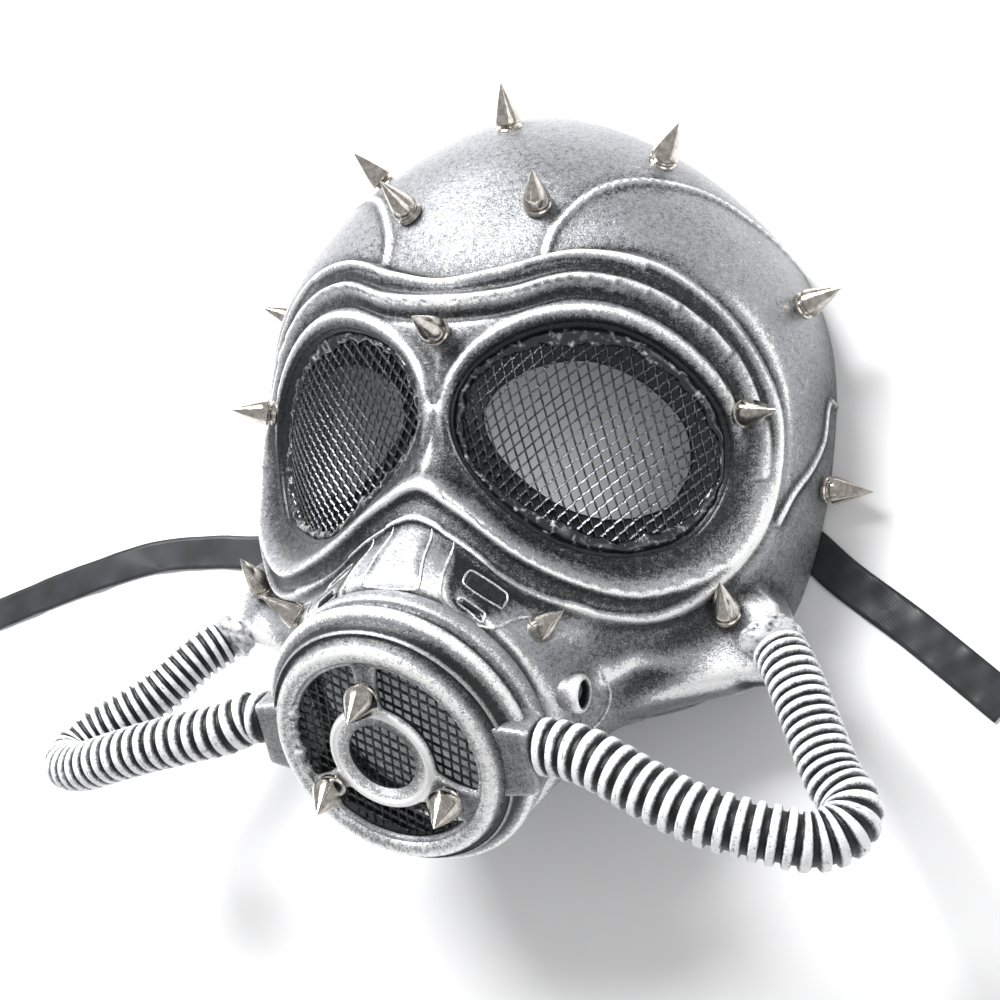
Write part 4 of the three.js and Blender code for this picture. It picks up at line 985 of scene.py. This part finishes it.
# Ribbed hoses from the canister's ports to glued ends at the corners of the jaw.
# A run's rows: share of the way out, height and depth from its start
hoseSize = {"radius": 8.3, "groove": 1.5, "ribs": 40, "reach": 135.0, "plug": 6.0, "ribShare": 0.56, "frontPitch": 1.16, "backPitch": 0.84}
hoseEndAxis = unit([0.57, -0.67, 0.48])
hoses = {
    "right": {"side": 1, "socket": (0.88, 0.05, 0.8), "seed": 3, "run": [(0.18, -1.7, 0.5), (0.4, -9.2, 0), (0.575, -14, -1.5), (0.81, -16.6, -6.5),
              (0.895, -16.6, -9.5), (0.97, -12.5, -13.5), (0.975, -7, -17), (0.9, 0.3, -21)]},
    "left": {"side": -1, "socket": (0.66, -0.62, 0.75), "seed": 4, "run": [(0.16, -4.6, 0.5), (0.33, -9, 0.5), (0.52, -13.7, -1), (0.69, -18.1, -3.5),
             (0.86, -22.1, -7.5), (0.98, -21.8, -12), (1.0, -17.2, -16.5), (0.96, -10.9, -20), (0.87, -4, -23.5), (0.77, 4.5, -28)]},
}


def hoseLine(hose):
    flip = np.array([hose["side"], 1, 1])
    start = onCanister(canister["port"] + 0.3, 2.0, 10.0)
    top = jaw["outer"] + np.array(hose["socket"]) * 15.5
    end = top + hoseEndAxis * (hoseSize["plug"] + 0.6)
    points = [start, start + np.array([5.0, 0, 0])]
    points += [(start[0] + out * (hoseSize["reach"] - start[0]), start[1] + up, start[2] + forward) for out, up, forward in hose["run"]]
    points += [end + 10 * hoseEndAxis, end + 3 * hoseEndAxis, end]
    return smoothLine(np.array(points), 24) * flip, top * flip


def makeHose(name, hose, node):
    line, _ = hoseLine(hose)
    count, sides = 521, 40
    path, _ = evenly(line, count)
    for _ in range(60):
        path[1:-1] = 0.5 * path[1:-1] + 0.25 * (path[:-2] + path[2:])
    step = np.gradient(path, axis=0)
    length = np.linalg.norm(step, axis=1, keepdims=True)
    tangent = step / length
    bend = np.gradient(tangent, axis=0) / length
    bendSize = np.linalg.norm(bend, axis=1)
    normal = np.zeros_like(path)
    normal[0] = unit(np.cross(tangent[0], [0, 0, 1.0]))
    for i in range(1, count):
        normal[i] = unit(normal[i - 1] - tangent[i] * (normal[i - 1] @ tangent[i]))
    binormal = np.cross(tangent, normal)
    rng = np.random.default_rng(hose["seed"])
    # ribs lie wider apart on the front run than on the run back to the jaw
    t = np.linspace(0, 1, count)
    pace = 1 / (hoseSize["frontPitch"] + (hoseSize["backPitch"] - hoseSize["frontPitch"]) * rise(0.35, 0.65, t))
    phase = np.cumsum(pace)
    phase = (phase - phase[0]) / (phase[-1] - phase[0]) * hoseSize["ribs"]
    away = np.abs((phase % 1) - 0.5) * 2
    rib = 1 - rise(hoseSize["ribShare"] - 0.14, hoseSize["ribShare"] + 0.14, away)
    a = np.arange(sides) * 2 * math.pi / sides
    out = np.cos(a)[None, :, None] * normal[:, None] + np.sin(a)[None, :, None] * binormal[:, None]
    reach = np.repeat((hoseSize["radius"] - hoseSize["groove"] * (1 - rib))[:, None], sides, 1)
    inward = np.einsum("ijk,ik->ij", out, bend / np.maximum(bendSize, 1e-6)[:, None])
    limit = 0.88 / np.maximum(bendSize, 1e-4)[:, None] / np.maximum(inward, 1e-3)
    reach = np.where(inward > 0, np.minimum(reach, limit), reach)
    sections = path[:, None] + reach[..., None] * out
    wearAndShade = (2.5 * rib - 1.4)[:, None] + 0.12 * rng.standard_normal((count, sides))
    bm = sweptPiece(sections)
    layer = bm.verts.layers.float.new("wearAndShade")
    where = {tuple(np.round(p, 6)): value for p, value in zip(toFrame(sections.reshape(-1, 3)), wearAndShade.ravel())}
    for vert in bm.verts:
        vert[layer] = where.get(tuple(np.round(np.array(vert.co), 6)), 0.0)
    keepPiece(bm, name, ["hose"], (node,))


# Lump of hot glue, brushed with silver
def makeLump(name, middle, axis, radii, seed, node):
    rng = np.random.default_rng(seed)
    bm = bmesh.new()
    bmesh.ops.create_icosphere(bm, subdivisions=5, radius=1.0)
    waves = [(rng.standard_normal(3) * k, rng.uniform(0, 6.28), 0.6 / k**0.9) for k in (1.5, 2, 3, 4, 6, 8) for _ in range(2)]
    axis = unit(axis)
    side = unit(np.cross([0.3, 1, 0.2], axis))
    basis = np.stack([side, np.cross(axis, side), axis], 1)
    for vert in bm.verts:
        p = np.array(vert.co)
        swell = 1 + 0.15 * sum(h * math.sin(float(w @ p) + f) for w, f, h in waves)
        vert.co = toFrame(np.asarray(middle) + basis @ (p * np.array(radii) * swell))
    keepPiece(bm, name, ["glue"], (node,))


print("hoses")
for word, hose in hoses.items():
    makeHose("ribbed_hose_" + word, hose, "hose_" + word)
    _, top = hoseLine(hose)
    axis = hoseEndAxis * np.array([hose["side"], 1, 1])
    makeLump("hose_glue_" + word, top + 1.5 * axis, axis, (8.9, 8.9, 5.8), hose["seed"] + 20, "glue_plug_" + word)


# Cone studs: a screwed disc, a narrow neck and a cone. Rows: radius, height over the disc's foot
studLean = {
    "stud_forehead_top": (0, 0.767, 0.641), "stud_forehead_right": (0.253, 0.369, 0.894), "stud_crown_right": (0.551, 0.512, 0.66),
    "stud_bridge": (0, 0, 1), "stud_temple_upper_right": (0.893, 0.244, 0.378), "stud_temple_lower_right": (0.989, -0.05, 0.137),
    "stud_goggle_right": (0.822, -0.074, 0.565), "stud_jaw_right": (0.11, 0.494, 0.862), "stud_cheek_right": (0.755, 0.351, 0.548),
}
shellStud = {"length": 16.4, "radius": 4.5, "disc": 4.4}
grilleStud = {"length": 14.5, "radius": 5.3, "disc": 4.4}


def makeStud(node, lean, stud):
    axis = unit(lean)
    corners = np.array([v.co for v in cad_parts[node].data.vertices]) * 1000 - originShift
    tip = corners[np.argmax(corners @ axis)]
    base = tip - stud["length"] * axis
    depth = float((base - corners[np.argmin(corners @ axis)]) @ axis)
    r, disc, top = stud["radius"], stud["disc"], stud["length"]
    profile = [(disc - 0.35, 0), (disc, 0.3), (disc, 1.3), (disc - 0.4, 1.75), (0.72 * r, 1.9), (0.66 * r, 2.3), (0.7 * r, 2.7), (r - 0.4, 2.95),
               (r, 3.35), (r, 3.9)]
    profile += [(r * (1 - t) ** 0.94, 3.9 + (top - 3.9) * t) for t in (0.2, 0.4, 0.6, 0.8, 0.93, 0.985)] + [(0, top)]
    foot = [(0, -depth), (2.9, -depth), (3.0, -depth + 1.2), (1.5, -depth + 1.3), (1.5, 0)] if depth > 2 else [(0, 0)]
    bm = turnedPiece(foot + profile, 40, base, axis)
    keepPiece(bm, node + "_turned", ["stud"], (node,), True, math.radians(32))


print("studs")
for node, lean in studLean.items():
    makeStud(node, lean, shellStud)
    if node.endswith("_right"):
        makeStud(node.replace("right", "left"), (-lean[0], lean[1], lean[2]), shellStud)
for word in ("top", "left", "right"):
    makeStud("stud_grille_" + word, axisOut + np.array([0.2, 0, 0]), grilleStud)


# Pale table and soft studio light, the main light up and to the left behind the forehead
lights = {
    "overhead_softbox": {"from": (-0.42, 0.55, 0.86), "distance": 1.1, "size": 0.5, "power": 21.0},
    "side_fill": {"from": (0.9, -0.2, 0.75), "distance": 1.4, "size": 0.9, "power": 3.0},
    # a small lamp in the hollow lights the table seen through the nets
    "hollow_fill": {"from": (0.0, -0.2, 1.0), "distance": 0.052, "size": 0.05, "power": 0.01},
    "snout_fill": {"from": (0.0, -0.77, 0.64), "distance": 0.078, "size": 0.03, "power": 0.012, "aim": (-0.03, -0.09, 0.0)},
}
worldStrength = 0.5


def makeTable():
    material, tree, place = newMaterial("white_table")
    finishMaterial(tree, addNode(tree, "BsdfPrincipled", None, Base_Color=linear("#f6f6f7"), Roughness=0.8))
    bm = bmesh.new()
    bmesh.ops.create_grid(bm, x_segments=2, y_segments=2, size=4.0)
    mesh = bpy.data.meshes.new("table")
    bm.to_mesh(mesh)
    bm.free()
    mesh.materials.append(material)
    table = bpy.data.objects.new("table", mesh)
    bpy.context.scene.collection.objects.link(table)


def makeLight(name, light):
    data = bpy.data.lights.new(name, "AREA")
    data.energy, data.size = light["power"], light["size"]
    lamp = bpy.data.objects.new(name, data)
    lamp.location = Vector(unit(light["from"])) * light["distance"]
    lamp.rotation_mode = "QUATERNION"
    lamp.rotation_quaternion = (Vector(light.get("aim", (0, 0, 0))) - lamp.location).to_track_quat("-Z", "Y")
    bpy.context.scene.collection.objects.link(lamp)


print("table and light")
makeTable()
for name, light in lights.items():
    makeLight(name, light)
world = bpy.data.worlds.new("studio")
world.use_nodes = True
world.node_tree.nodes["Background"].inputs[0].default_value = (1.0, 1.0, 1.0, 1.0)
world.node_tree.nodes["Background"].inputs[1].default_value = worldStrength
bpy.context.scene.world = world
bpy.context.scene.view_settings.view_transform = "Standard"
